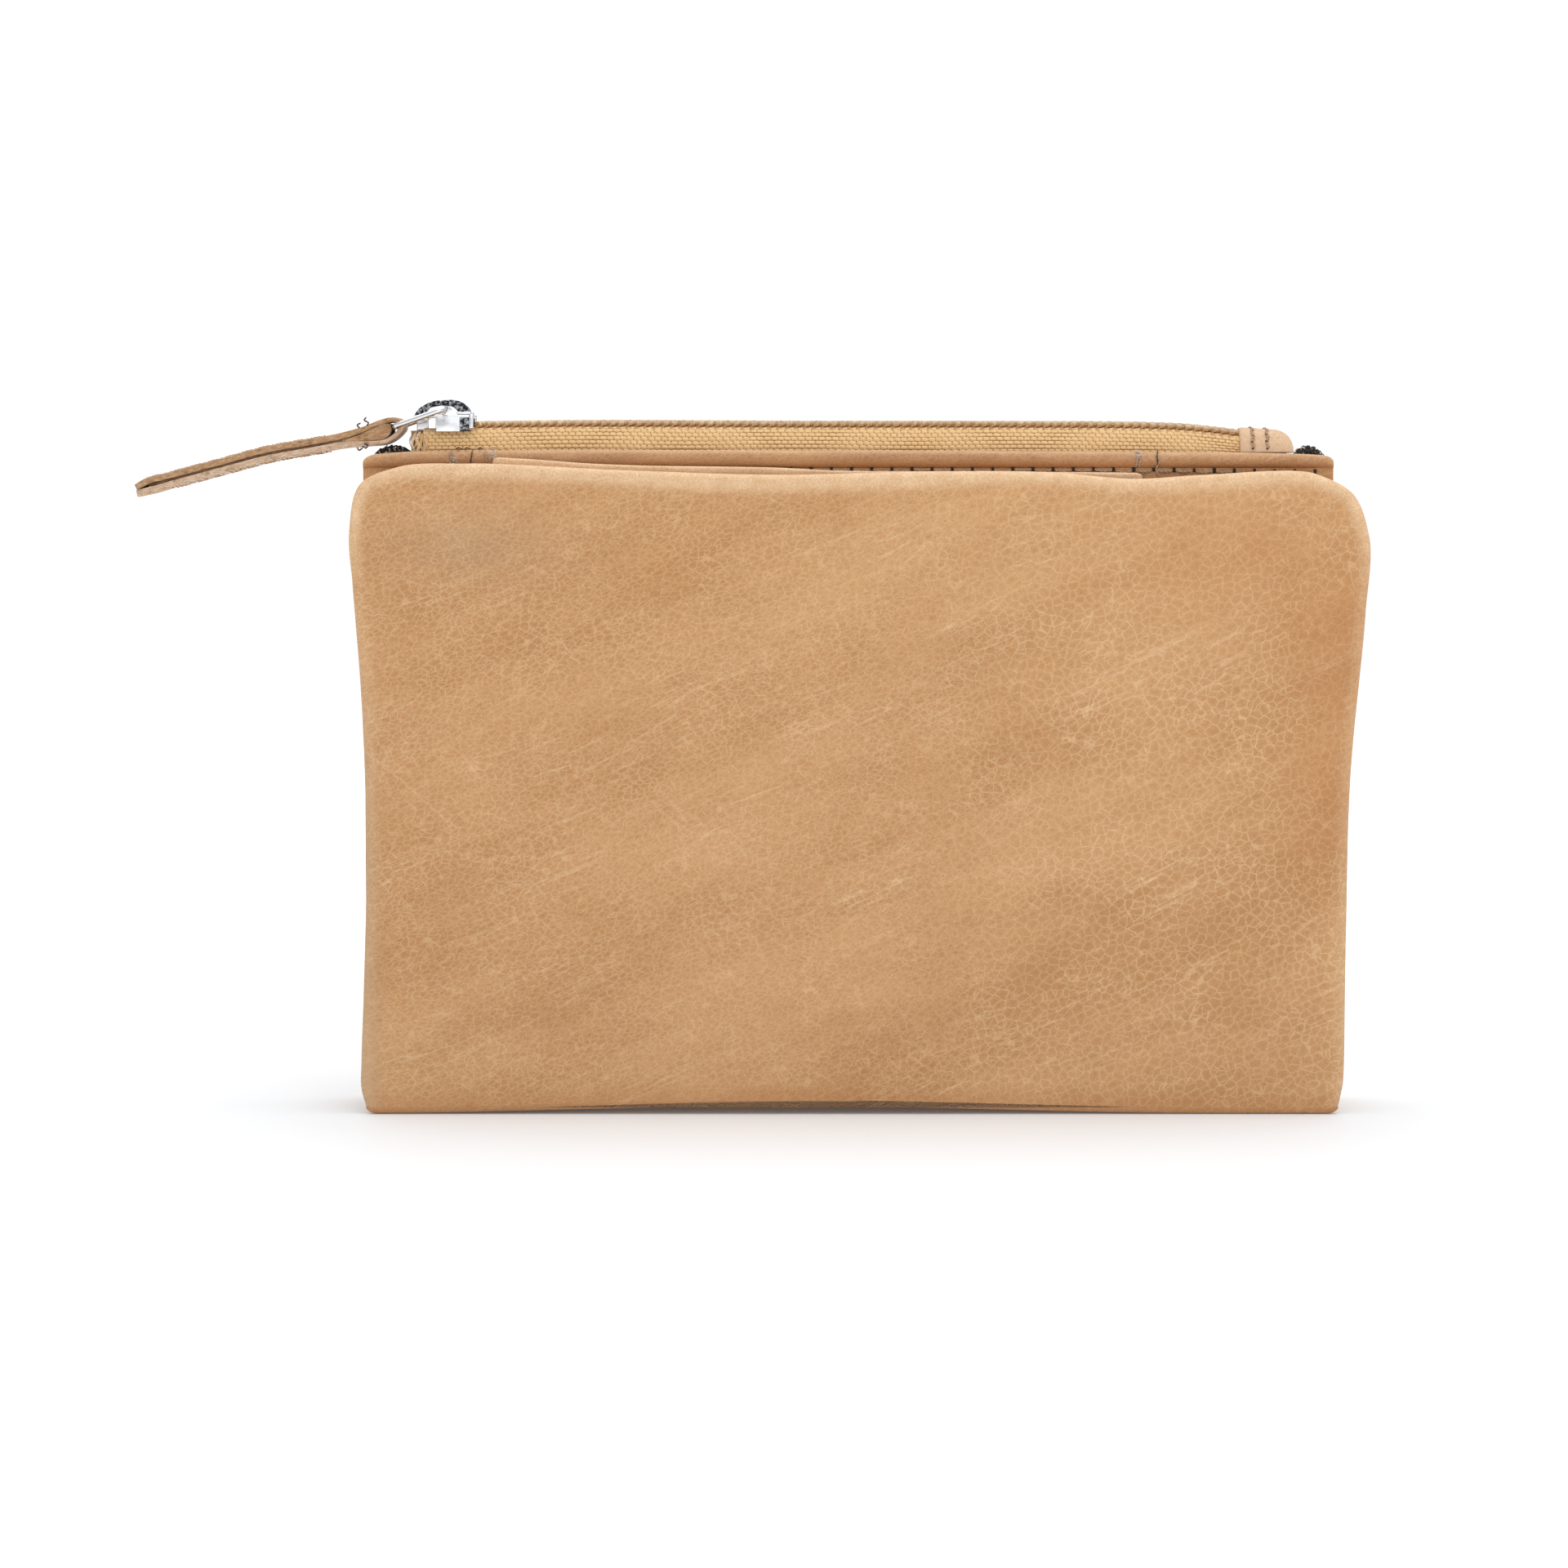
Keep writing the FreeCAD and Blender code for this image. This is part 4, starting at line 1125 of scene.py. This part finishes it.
def tack(builder, x, low, high, radius, slot):
    """Upright passes of thread over the front strip."""
    share = np.linspace(0, 1, 14)
    z = low + (high - low) * share
    y = WALL_LOW[1] - 0.5 - 0.35 * np.sin(np.pi * np.clip(share * 0.9 + 0.05, 0, 1))
    y = y + 0.8 * smoothstep(0.82, 1.0, share)
    drift = 0.12 * np.sin(share * 5 + x)
    builder.twist(stack(x + drift, y, z), radius, 2.5, 2, slot)


def make_back_tacks():
    b = Builder()
    foot, top = CREASE + 0.1, CREASE + 3.1
    for x in (-69.3, -68.9, -63.3, 48.6, 49.1):
        tack(b, x, foot, top, 0.17, 0)
    for x in (-65.7, 52.2):
        tack(b, x, foot, top, 0.15, 1)
    for x in (-68.4, -66.9, -64.6, -62.2):
        end = (x + rng.uniform(0.6, 1.2), WALL_LOW[1] + 0.3, top + 0.15)
        b.twist(smooth_curve([(x, WALL_LOW[1], top + 0.1),
                              (x + 0.3, WALL_LOW[1] - 0.1, top + 0.35), end], 6),
                0.15, 1.5, 2, 1 if x < -64 else 0)
    for x, z in ((-69.1, 1.0), (-62.4, 2.6), (48.9, 2.3), (-61.6, 2.2)):
        for _ in range(16):
            a = np.array([x + rng.gauss(0, 0.35), WALL_LOW[1] - 0.82, CREASE + z + rng.gauss(0, 0.3)])
            c = a + (rng.uniform(-0.7, 0.7), rng.uniform(-0.12, 0.02), rng.uniform(-0.5, 0.5))
            bend = (a + c) / 2 + (0, -0.12, 0.1)
            b.tube(smooth_curve([a, bend, c], 4), 0.05, 4, 2)
    loose = smooth_curve([(51.8, WALL_LOW[1] - 0.6, CREASE + 2.9),
                          (52.5, WALL_LOW[1] - 1.05, CREASE + 1.2),
                          (51.9, WALL_LOW[1] - 0.9, CREASE - 0.4),
                          (52.7, WALL_LOW[1] - 1.0, CREASE - 1.6)], 6)
    b.twist(loose, 0.13, 4, 2, 0)
    b.piece("strip_back_tacks", [SEWING_THREAD, DARK_THREAD, PALE_FIBRE], "pouch",
            replaces=["edge_back_tacks"])


slip_top = profile([(-62.0, 113.0), (-54.0, 112.5), (-46.0, 111.9), (-37.0, 111.55), (-13.0, 111.2),
                    (-4.0, 110.75), (25.0, 110.5), (49.6, 110.3)])


def slip_place(x, s, n):
    """The slip panel leans against the wall and its top lies over the strip's foot."""
    share = (s - SLIP_LOW[2]) / (SLIP_HIGH[2] - SLIP_LOW[2])
    z = s + (slip_top(x) - SLIP_HIGH[2]) * smoothstep(0.9, 1.0, share)
    over = smoothstep(104, 111, z) * (0.9 + 1.0 * smoothstep(0, -25, x))
    y = SLIP_LOW[1] - n - over - 0.1 * ripple(x, z, 14, 31)
    return stack(x, y, z)


def make_slip_panel():
    outline = slot_outline((SLIP_LOW[0], SLIP_LOW[2]), (SLIP_HIGH[0], SLIP_HIGH[2]), 0.8)
    # Paler along the top, partly stretched leather and partly a painted highlight from above; ruddier in
    # a patch near the middle of the top and towards the right.
    marks = lambda x, s, curve: {
        "pale": 0.95 * smoothstep(104.5, 108.0, s) * (0.8 + 0.3 * ripple(x, s, 6, 32)),
        "ruddy": 0.5 * np.exp(-((x + 21) / 7) ** 2) * smoothstep(108, 110, s)
        + 0.5 * smoothstep(30, 44, x) * smoothstep(104, 108, s),
    }
    b = Builder()
    thickness = SLIP_HIGH[1] - SLIP_LOW[1]
    panel(b, outline, (3, 7), slab_profile(thickness, 0.5), slip_place, 0.9, marks=marks)
    b.piece("slip_panel", [COVER_LEATHER], "pouch", replaces=["slip_pocket_panel"])


# --- Zip ---------------------------------------------------------------------------------

chain_rise = profile([(-76.5, -0.2), (-65.6, 0.0), (-48, 0.22), (-10, 0.1), (30, 0.05), (50, -0.1),
                      (58, -0.45), (63.6, -1.05), (67, -1.5), (75, -2.3)])


def make_zip_tape():
    """Herringbone-woven tape, each thread float a small raised brick."""
    lower = [(-4.6, 106.0), (-4.6, 108.0), (-4.6, 110.0), (-4.6, 111.8)]
    upper = smooth_curve([(-4.6, 111.9), (-4.5, 113.4), (-4.15, 115.2), (-3.65, 116.8), (-3.1, 117.75),
                          (-2.2, 118.05), (-0.5, 118.1)], 12)
    upper = resample(upper, 52)
    line = np.vstack([lower, upper])
    run = run_along(line)
    tangent = np.gradient(line, axis=0)
    normal = unit(stack(-tangent[:, 1], tangent[:, 0]))
    x = np.arange(TAPE_LOW[0] - 0.6, 74.6, 0.19)
    row_size, brick = 0.7, 1.18
    v = run[:, None] / row_size + 0.12 * np.sin(x[None, :] * 0.16)
    row = np.floor(v)
    lean = 0.22 * (v - row)
    u = x[None, :] / brick + 0.5 * (row % 2) + lean + 0.06 * np.sin(x[None, :] * 0.9 + row * 1.7)
    across, up = np.abs(2 * (u % 1) - 1), np.abs(2 * (v % 1) - 1)
    pillow = (1 - across**3.5) * (1 - up**2.6)
    near_chain = smoothstep(run[-1] - 3.4, run[-1] - 1.6, run)[:, None]
    height = 0.17 * pillow * (1 - 0.7 * near_chain)
    # Painted shade: darker in the grooves between floats and on the tape's back.
    groove = np.clip((1 - pillow) * (1 - 0.45 * near_chain), 0, 1)
    lift = chain_rise(x)[None, :] * smoothstep(112.0, 117.5, line[:, 1])[:, None]

    for side, node in ((1, "zip_tape_front"), (-1, "zip_tape_back")):
        outer_y = ZIP_Y + side * (line[:, :1] + normal[:, :1] * height)
        outer_z = line[:, 1:] + normal[:, 1:] * height + lift
        inner_y = ZIP_Y + side * (line[:, :1] - normal[:, :1] * 0.42)
        inner_z = line[:, 1:] - normal[:, 1:] * 0.42 + lift
        outer = stack(x, outer_y, outer_z)
        inner = stack(x, inner_y, inner_z)[::-1]
        rows = np.concatenate([outer, inner])
        shade = np.concatenate([groove, np.full(groove.shape, 0.3)])
        b = Builder()
        b.loft(rows.transpose(1, 0, 2), groove=shade.T.ravel())
        b.piece(node + "_weave", [TAPE_WEAVE], "pouch",
                replaces=[node] + (["zip_tail"] if side > 0 else []))


def make_tape_fold():
    """Folded left end of the tape, with the ends of its threads showing."""
    low, high = mm_box("zip_tape_fold")
    b = Builder()
    loops = []
    for z in np.concatenate([np.linspace(low[2], 114, 8), np.linspace(114.6, high[2] - 0.5, 8)]):
        half = np.interp(z, [112, 115, 117.6], [4.75, 4.35, 3.3])
        round_off = math.sqrt(max(0.05, 1 - max(0.0, (z - 116.2) / 1.9) ** 2))
        turn = np.linspace(0, 2 * np.pi, 40, endpoint=False)
        u, w = np.cos(turn), np.sin(turn)
        swell = 1 + 0.05 * np.sin(z * 3.1) + 0.05 * np.sin(turn * 3 + z)
        x = -74.75 + 1.75 * swell * np.sign(u) * np.abs(u) ** 0.6
        y = ZIP_Y + half * round_off * np.sign(w) * np.abs(w) ** 0.45
        loops.append(stack(x, y, z))
    b.loft(loops)
    front = ZIP_Y - 4.7
    for i in range(13):
        x = -76.3 + 0.24 * i + rng.uniform(-0.1, 0.1)
        z = np.linspace(113.2, 117.4 - 0.09 * abs(i - 5), 16)
        lean = np.interp(z, [112, 115, 117.6], [0.05, 0.42, 1.5])
        bulge = 0.35 * np.exp(-((x + 74.9) / 1.3) ** 2)
        wave = 0.22 * np.sin(z * rng.uniform(1.6, 3.2) + i)
        path = stack(x + wave, front + lean - bulge, z)
        b.twist(path, rng.uniform(0.13, 0.22), 4, 2, rng.choice([1, 1, 2]))
    b.piece("zip_tape_end_fold", [TAPE_GROUND, TAPE_YARN, PALE_FIBRE], "pouch",
            replaces=["zip_tape_fold"])


def make_coils():
    low, high = COIL_LOW[0], COIL_HIGH[0]
    pitch, wire = 1.53, 0.5
    turns = (high + 1.0 - low) / pitch
    t = np.linspace(0, 2 * np.pi * turns, int(turns * 16))
    base_z = 0.5 * (COIL_LOW[2] + COIL_HIGH[2])
    for side, node, shift in ((-1, "zip_coil_front", 0.0), (1, "zip_coil_back", 0.5)):
        b = Builder()
        outer = 2.9 - wire
        centre, swing = 0.5 * (outer - 0.15), 0.5 * (outer + 0.15)
        climb = np.sin(t + 2 * np.pi * shift)
        x = low + 0.3 + pitch * (t / (2 * np.pi)) + 0.42 * climb
        y = ZIP_Y + side * (centre - swing * np.cos(t + 2 * np.pi * shift))
        z = base_z + chain_rise(x) + 0.09 * climb
        b.tube(stack(x, y, z), wire, 8, 0)
        core = np.linspace(low + 0.2, x[-1], 160)
        level = base_z - 0.3 + chain_rise(core)
        b.tube(stack(core, ZIP_Y + side * 1.3, level), 0.36, 8, 1)
        b.piece(node + "_spiral", [COIL_NYLON, COIL_THREAD], "pouch", replaces=[node])
        b = Builder()
        for i in range(int(turns)):
            x0 = low + pitch * (i + 0.15)
            rise = float(chain_rise(x0))
            y0 = ZIP_Y + side * 3.25
            path = smooth_curve([(x0, y0, base_z - 0.78 + rise),
                                 (x0 + 0.45, y0 - side * 0.1, base_z - 0.5 + rise),
                                 (x0 + 0.95, y0 - side * 0.55, base_z - 0.2 + rise)], 4)
            b.twist(path, 0.17, 1.2, 2, 0)
        b.piece(node + "_sewing", [COIL_THREAD], "pouch")


def make_end_tab():
    low, high = TAB_LOW, TAB_HIGH
    section = smooth_curve([(-5.4, 0.0), (-5.1, 0.32), (-4.3, 0.68), (-2.9, 0.93), (0.0, 1.0),
                            (2.9, 0.93), (4.3, 0.68), (5.1, 0.32), (5.4, 0.0)], 5)
    section = np.vstack([section, (5.0, -0.06), (0.0, -0.06), (-5.0, -0.06)])
    foot = low[2] - 0.3
    xs = np.concatenate([low[0] + 0.55 * (1 - np.cos(np.linspace(0, np.pi / 2, 6))),
                         np.linspace(low[0] + 0.8, high[0] - 3.3, 18),
                         high[0] - 3.1 * (1 - np.sin(np.linspace(0.05, np.pi / 2 - 0.03, 14)))])
    xs = np.unique(np.round(xs, 4))
    loops = []
    for x in xs:
        left, right = x - low[0], high[0] - x
        tall = high[2] - foot - 0.06 * (x - low[0])
        if left < 0.55:
            tall *= 0.86 + 0.14 * math.sqrt(max(0, 1 - (1 - left / 0.55) ** 2))
        if right < 3.1:
            tall *= 0.32 + 0.68 * math.sqrt(max(0, 1 - (1 - right / 3.1) ** 2))
        wave = 1 + 0.02 * float(ripple(x, 0, 2.5, 41))
        narrow = 0.98 - 0.05 * math.exp(-right / 0.3) - 0.03 * math.exp(-left / 0.2)
        loops.append(stack(x, ZIP_Y + section[:, 0] * narrow * wave,
                                      foot + section[:, 1] * tall))
    b = Builder()
    b.loft(loops)
    b.piece("zip_end_tab_leather", [PALE_LEATHER], "pouch", replaces=["zip_end_tab"])
    b = Builder()
    for x in (68.7, 71.2):
        tall = high[2] - foot - 0.06 * (x - low[0])
        path = stack(x + 0.14 * np.sin(np.arange(21) * 1.1),
                                ZIP_Y + section[2:23, 0] * 1.01, foot + section[2:23, 1] * tall + 0.05)
        stitches(b, path, 1.35, 0.21, (0, -0.9, 0.3), turns=1.3, lift=0.1, holes=2)
        path = path + (0.22, -0.03, 0)
        b.twist(path, 0.12, 7, 2, 1)
    b.piece("end_tab_stitches", [SEWING_THREAD, GOLD_THREAD, NEEDLE_HOLE_SHADE], "pouch",
            replaces=["end_tab_stitching"])


def make_overlock(node):
    """Serged edge of the lining that stands up past the end of the zip."""
    low, high = mm_box(node)
    b = Builder()
    loops = []
    for z in np.linspace(low[2], high[2] - 0.7, 24):
        turn = np.linspace(0, 2 * np.pi, 36, endpoint=False)
        grow = 1 - 0.5 * smoothstep(high[2] - 2.2, high[2] - 0.5, z)
        x = 0.5 * (low[0] + high[0]) + 0.47 * (high[0] - low[0]) * np.cos(turn) * grow ** 0.5
        y = ZIP_Y + 0.9 * np.sin(turn) * grow
        loops.append(stack(x, y, z))
    b.loft(loops, 0)
    middle = 0.5 * (low[0] + high[0])
    half = 0.5 * (high[0] - low[0])
    for _ in range(230):
        x = rng.uniform(low[0], high[0])
        crest = high[2] - 0.15 - 1.3 * abs((x - middle) / half) ** 2.2
        z = crest - abs(rng.gauss(0, 0.9))
        y = ZIP_Y + rng.choice([-1, -1, 1]) * rng.uniform(0.2, 1.25)
        size = rng.uniform(0.25, 0.55)
        tilt, spin = rng.uniform(0, np.pi), rng.uniform(0, 2 * np.pi)
        turn = np.linspace(spin, spin + rng.uniform(3.2, 5.6), 9)
        a = np.array([math.cos(tilt), 0.3 * math.sin(tilt), 0.4 * math.sin(tilt)])
        c = np.array([0.0, math.cos(spin) * 0.6, 0.9])
        path = np.array([x, y, z]) + size * (np.cos(turn)[:, None] * a + np.sin(turn)[:, None] * c)
        b.tube(path, rng.uniform(0.09, 0.15), 5, 0 if rng.random() < 0.86 else 1)
    b.piece(node + "_loops", [BLACK_YARN, PALE_FIBRE], "pouch", replaces=[node])


# --- Slider, ring and strap --------------------------------------------------------------

def make_slider():
    left, right = SLIDER_LOW[0], SLIDER_HIGH[0]
    half = 0.5 * (SLIDER_HIGH[1] - SLIDER_LOW[1])
    plan = rounded_corners([(left, ZIP_Y - 2.6), (left + 3.2, ZIP_Y - half), (right, ZIP_Y - half + 0.1),
                            (right, ZIP_Y + half - 0.1), (left + 3.2, ZIP_Y + half),
                            (left, ZIP_Y + 2.6)], 0.9)
    b = Builder()
    rounded_prism(b, plan, "z", 119.72, SLIDER_HIGH[2] - 0.25, 0.22, 0)
    low_plan = rounded_corners([(left, ZIP_Y - 1.9), (left + 1.5, ZIP_Y - 2.6), (right - 1, ZIP_Y - 2.5),
                                (right - 1, ZIP_Y + 2.5), (left + 1.5, ZIP_Y + 2.6),
                                (left, ZIP_Y + 1.9)], 0.7)
    rounded_prism(b, low_plan, "z", SLIDER_LOW[2], SLIDER_LOW[2] + 0.8, 0.2, 0)
    post = rounded_corners([(left + 0.4, ZIP_Y - 0.3), (left + 2.4, ZIP_Y - 0.3),
                            (left + 2.4, ZIP_Y + 0.3),
                            (left + 0.4, ZIP_Y + 0.3)], 0.15)
    rounded_prism(b, post, "z", SLIDER_LOW[2] + 0.5, 120.0, 0.05, 0)
    for side in (-1, 1):
        def wall(x0, x1, z0, z1, near, far, bevel, corner, slot):
            shape = rounded_corners([(x0, z0), (x1, z0), (x1, z1), (x0, z1)], corner)
            ends = sorted((ZIP_Y + side * near, ZIP_Y + side * far))
            rounded_prism(b, shape, "y", ends[0], ends[1], bevel, slot)
        wall(left + 4.0, right - 2.3, 117.35, 119.95, half - 0.75, half + 0.1, 0.14, 0.25, 0)
        wall(right - 2.5, right - 0.4, 117.5, 120.25, half - 0.75, half - 0.12, 0.12, 0.2, 1)
        wall(right - 0.75, right, 117.9, 120.35, half - 0.8, half + 0.06, 0.16, 0.3, 0)
        wall(right - 2.9, right - 0.4, 120.35, 120.8, 1.0, half - 0.35, 0.18, 0.2, 0)
    b.piece("slider_plates", [POLISHED, CAST], "slider", replaces=["slider_body"])

    arch_line = smooth_curve([(-76.0, 119.95), (-75.7, 120.75), (-74.9, 121.6), (-73.7, 122.3),
                              (-72.3, 122.75), (-70.6, 122.9), (-69.0, 122.9), (-67.8, 122.55),
                              (-66.9, 121.9), (-66.3, 121.2), (-66.1, 120.4)], 6)
    outline = np.vstack([arch_line, (-66.1, 119.9), (-71.0, 119.9)])
    window = rounded_corners([(-74.4, 120.2), (-68.5, 120.2), (-68.4, 121.0), (-69.3, 121.75),
                              (-71.2, 121.95), (-73.2, 121.6)], 0.35)
    b = Builder()
    rounded_prism(b, outline, "y", CROWN_LOW[1], CROWN_HIGH[1], 0.28, 0, window=window)
    crown = b.piece("slider_crown_arch", [CAST, POLISHED], "slider",
                    replaces=["slider_crown"])
    middle = ZIP_Y
    for face in crown.data.polygons:
        if abs(face.center.y / MM - middle) < 1.15:
            face.material_index = 1


def make_ring():
    arm = 6.0
    corners = [RING_PIVOT + (0, -arm, 0), RING_FAR + (0, -arm, 0), RING_FAR + (0, arm, 0),
               RING_PIVOT + (0, arm, 0)]
    path = rounded_corners(corners, 1.5, 12)
    full = []
    for a, c in zip(path, np.roll(path, -1, 0)):
        steps = max(1, int(np.linalg.norm(c - a) / 0.4))
        full += [a + (c - a) * k / steps for k in range(steps)]
    b = Builder()
    closed_tube(b, full, 0.5, 16)
    b.piece("pull_ring_wire", [POLISHED], "pull_ring", replaces=["pull_ring"])


STRAP_LINE = [(-124.2, 107.75), (-121.6, 109.0), (-118.5, 109.75), (-109.9, 112.0), (-101.2, 114.3),
             (-92.7, 115.8), (-88.3, 116.65), (-84.4, 117.85), (-81.6, 119.0), (-79.9, 119.42),
             (-78.7, 119.35), (-77.95, 118.75), (-77.9, 118.0), (-78.5, 117.2), (-79.5, 116.35),
             (-80.7, 115.72), (-82.4, 115.45), (-84.6, 115.35), (-88.0, 115.18), (-92.4, 114.38),
             (-100.9, 112.88), (-109.6, 110.6), (-118.2, 108.28), (-121.4, 107.35), (-124.0, 106.75)]


def make_strap():
    """One strip of leather folded round the ring's far wire, raw at its cut edges."""
    centre = resample(smooth_curve(STRAP_LINE, 10), 260)
    run = unit(np.gradient(centre, axis=0))
    normal = stack(-run[:, 1], run[:, 0])
    tip = centre[:, 0].min()
    half_width = 4.5
    sides = np.linspace(0, 2 * np.pi, 32, endpoint=False)
    loops = []
    for i, ((x, z), out) in enumerate(zip(centre, normal)):
        in_loop = smoothstep(-88, -83, x)
        thick = 0.6 - 0.16 * in_loop
        upper = i < len(centre) / 2
        reach = np.clip((x - tip + 0.2) / 3.6, 0.02, 1)
        half = half_width * math.sqrt(1 - (1 - reach) ** 2)
        ragged = 0.1 * float(ripple(i * 0.4, 0 if upper else 50, 1.5, 51))
        half = max(0.4, half + ragged)
        u, w = np.cos(sides), np.sin(sides)
        across = np.sign(u) * np.abs(u) ** 0.16 * half
        rough = 1 + 0.12 * ripple(np.full(32, i * 0.45), sides, 0.9, 52) * (np.abs(u) > 0.8)
        through = np.sign(w) * np.abs(w) ** 0.3 * thick * rough
        loops.append(stack(x + out[0] * through, ZIP_Y + across, z + out[1] * through))
    b = Builder()
    b.loft(loops)
    count = len(sides)
    faces = len(b.faces) - 2
    edge = np.abs(np.cos(sides + sides[1] / 2)) > 0.8
    for k in range(faces):
        row, column = divmod(k, count)
        if edge[column]:
            b.slots[k] = 1 if row < len(centre) / 2 else 2
    b.slots[-1] = b.slots[-2] = 1

    inside = smooth_curve([(-89.5, 115.75), (-86.0, 116.6), (-83.0, 117.9), (-80.9, 118.8),
                           (-79.9, 118.7),
                           (-79.8, 117.2), (-80.8, 116.2), (-82.6, 115.9), (-86.0, 115.7),
                           (-89.5, 115.6)], 6)
    rounded_prism(b, inside, "y", ZIP_Y - half_width + 0.15, ZIP_Y + half_width - 0.15, 0.2, 1)

    upper_face, lower_face = np.array(STRAP_LINE[1:7]), np.array(STRAP_LINE[-2:-8:-1])
    glue = resample(smooth_curve(0.5 * (upper_face + lower_face), 10), 160)
    loops = []
    for i, (x, z) in enumerate(glue):
        tall = 0.16 + 0.1 * float(ripple(i * 0.5, 3, 1.3, 53))
        out = half_width - 0.1 + 0.14 * float(ripple(i * 0.5, 9, 0.8, 54))
        out *= min(1.0, 0.55 + (x - tip) / 9)
        loops.append([(x, ZIP_Y - out, z - tall), (x, ZIP_Y + out, z - tall),
                      (x, ZIP_Y + out, z + tall), (x, ZIP_Y - out, z + tall)])
    b.loft(loops, 3)

    for _ in range(150):
        i = rng.randrange(150, 245)
        x, z = centre[i]
        a = np.array([x, ZIP_Y - half_width + rng.uniform(-0.05, 0.3), z - rng.uniform(0.25, 0.62)])
        c = a + (rng.uniform(-1.2, 1.2), rng.uniform(-0.25, 0.05), rng.uniform(-0.35, 0.08))
        b.tube(smooth_curve([a, (a + c) / 2 + (0, -0.08, 0.1), c], 4), rng.uniform(0.03, 0.07), 4, 4)
    for _ in range(60):
        i = rng.randrange(8, 28)
        x, z = centre[i]
        a = np.array([x, ZIP_Y - half_width * 0.9 + rng.uniform(-0.2, 0.3), z + rng.uniform(0.1, 0.66)])
        c = a + (rng.uniform(-0.8, 0.8), rng.uniform(-0.2, 0.05), rng.uniform(-0.2, 0.2))
        b.tube(smooth_curve([a, (a + c) / 2 + (0, -0.08, 0.06), c], 4), rng.uniform(0.03, 0.06), 4, 4)
    b.piece("pull_strap_leather", [STRAP_LEATHER, RAW_EDGE, RAW_PALE, GLUE, PALE_FIBRE], "pull_strap",
            replaces=["pull_strap"])

    b = Builder()
    for half, shift in ((0, 0.57), (1, -0.6)):
        line = centre[18:92] if half == 0 else centre[::-1][18:92]
        for y in (ZIP_Y - 3.4, ZIP_Y + 3.4):
            row = stack(line[:, 0], y, line[:, 1] + shift)
            stitches(b, row, 3.1, 0.13, (0.0, 0.0, math.copysign(1, shift)), lift=0.06, holes=1)
    ends = [
        [(-84.0, -2.8, 118.2), (-83.6, -3.1, 118.9), (-84.3, -3.0, 119.4), (-83.9, -3.3, 119.9)],
        [(-85.0, -2.8, 117.9), (-85.5, -3.2, 118.5), (-84.9, -3.1, 118.9)],
        [(-84.8, -3.0, 115.0), (-84.0, -3.3, 114.6), (-83.7, -3.1, 115.0), (-84.3, -3.2, 115.4)],
        [(-85.6, -2.9, 114.9), (-85.2, -3.2, 114.2), (-84.6, -3.0, 114.6)],
    ]
    for points in ends:
        b.twist(smooth_curve(points, 8), 0.16, 3, 2, 2)
    b.piece("pull_strap_stitches", [SEWING_THREAD, NEEDLE_HOLE_SHADE, DARK_THREAD], "pull_strap",
            replaces=["pull_strap_stitching"])


make_cover_insides()
make_card_slots()
make_walls()
make_gussets()
make_lining_bag()
make_side_seams()
make_strips()
make_back_tacks()
make_slip_panel()
make_zip_tape()
make_tape_fold()
make_coils()
make_end_tab()
make_overlock("lining_overlock_left")
make_overlock("lining_overlock_right")
make_slider()
make_ring()
make_strap()


# --- Studio ------------------------------------------------------------------------------

def make_studio():
    floor = bpy.data.meshes.new("floor")
    reach = 12.0
    floor.from_pydata([(-reach, -reach, 0), (reach, -reach, 0), (reach, reach, 0), (-reach, reach, 0)],
                      [], [(0, 1, 2, 3)])
    floor.materials.append(FLOOR)
    floor = bpy.data.objects.new("floor", floor)
    bpy.context.scene.collection.objects.link(floor)

    world = bpy.data.worlds.new("studio")
    bpy.context.scene.world = world
    world.use_nodes = True
    tree = world.node_tree
    nodes, links = tree.nodes, tree.links
    back = nodes["Background"]
    back.inputs["Color"].default_value = (1, 1, 1, 1)
    back.inputs["Strength"].default_value = 0.66
    seen = nodes.new("ShaderNodeBackground")
    seen.inputs["Color"].default_value = (1, 1, 1, 1)
    seen.inputs["Strength"].default_value = 1.1
    path = nodes.new("ShaderNodeLightPath")
    pick = nodes.new("ShaderNodeMixShader")
    links.new(path.outputs["Is Camera Ray"], pick.inputs[0])
    links.new(back.outputs[0], pick.inputs[1])
    links.new(seen.outputs[0], pick.inputs[2])
    links.new(pick.outputs[0], nodes["World Output"].inputs[0])

    def softbox(name, place, target, size, power):
        light = bpy.data.lights.new(name, "AREA")
        light.shape = "RECTANGLE"
        light.size, light.size_y = size
        light.energy = power
        obj = bpy.data.objects.new(name, light)
        obj.location = place
        obj.rotation_euler = (Vector(target) - Vector(place)).to_track_quat("-Z", "Y").to_euler()
        bpy.context.scene.collection.objects.link(obj)

    softbox("overhead", (0.05, 0.05, 0.9), (0, 0, 0.05), (1.2, 0.9), 6.0)
    softbox("front", (0.25, -1.1, 0.55), (0, 0, 0.06), (0.9, 0.9), 1.6)


def make_camera():
    """Long lens, square to the front and a little above it."""
    camera = bpy.data.cameras.new("camera")
    camera.lens = 100
    camera.sensor_width = 36
    width = 0.2688
    distance = width * camera.lens / camera.sensor_width
    tilt = math.radians(4)
    target = Vector((-0.0120, COVER_LOW[1] * MM, 0.0571))
    obj = bpy.data.objects.new("camera", camera)
    away = Vector((0, -math.cos(tilt), math.sin(tilt)))
    obj.location = target + away * distance
    obj.rotation_euler = (-away).to_track_quat("-Z", "Y").to_euler()
    bpy.context.scene.collection.objects.link(obj)
    bpy.context.scene.camera = obj


make_studio()
make_camera()
bpy.context.scene.view_settings.view_transform = "Standard"
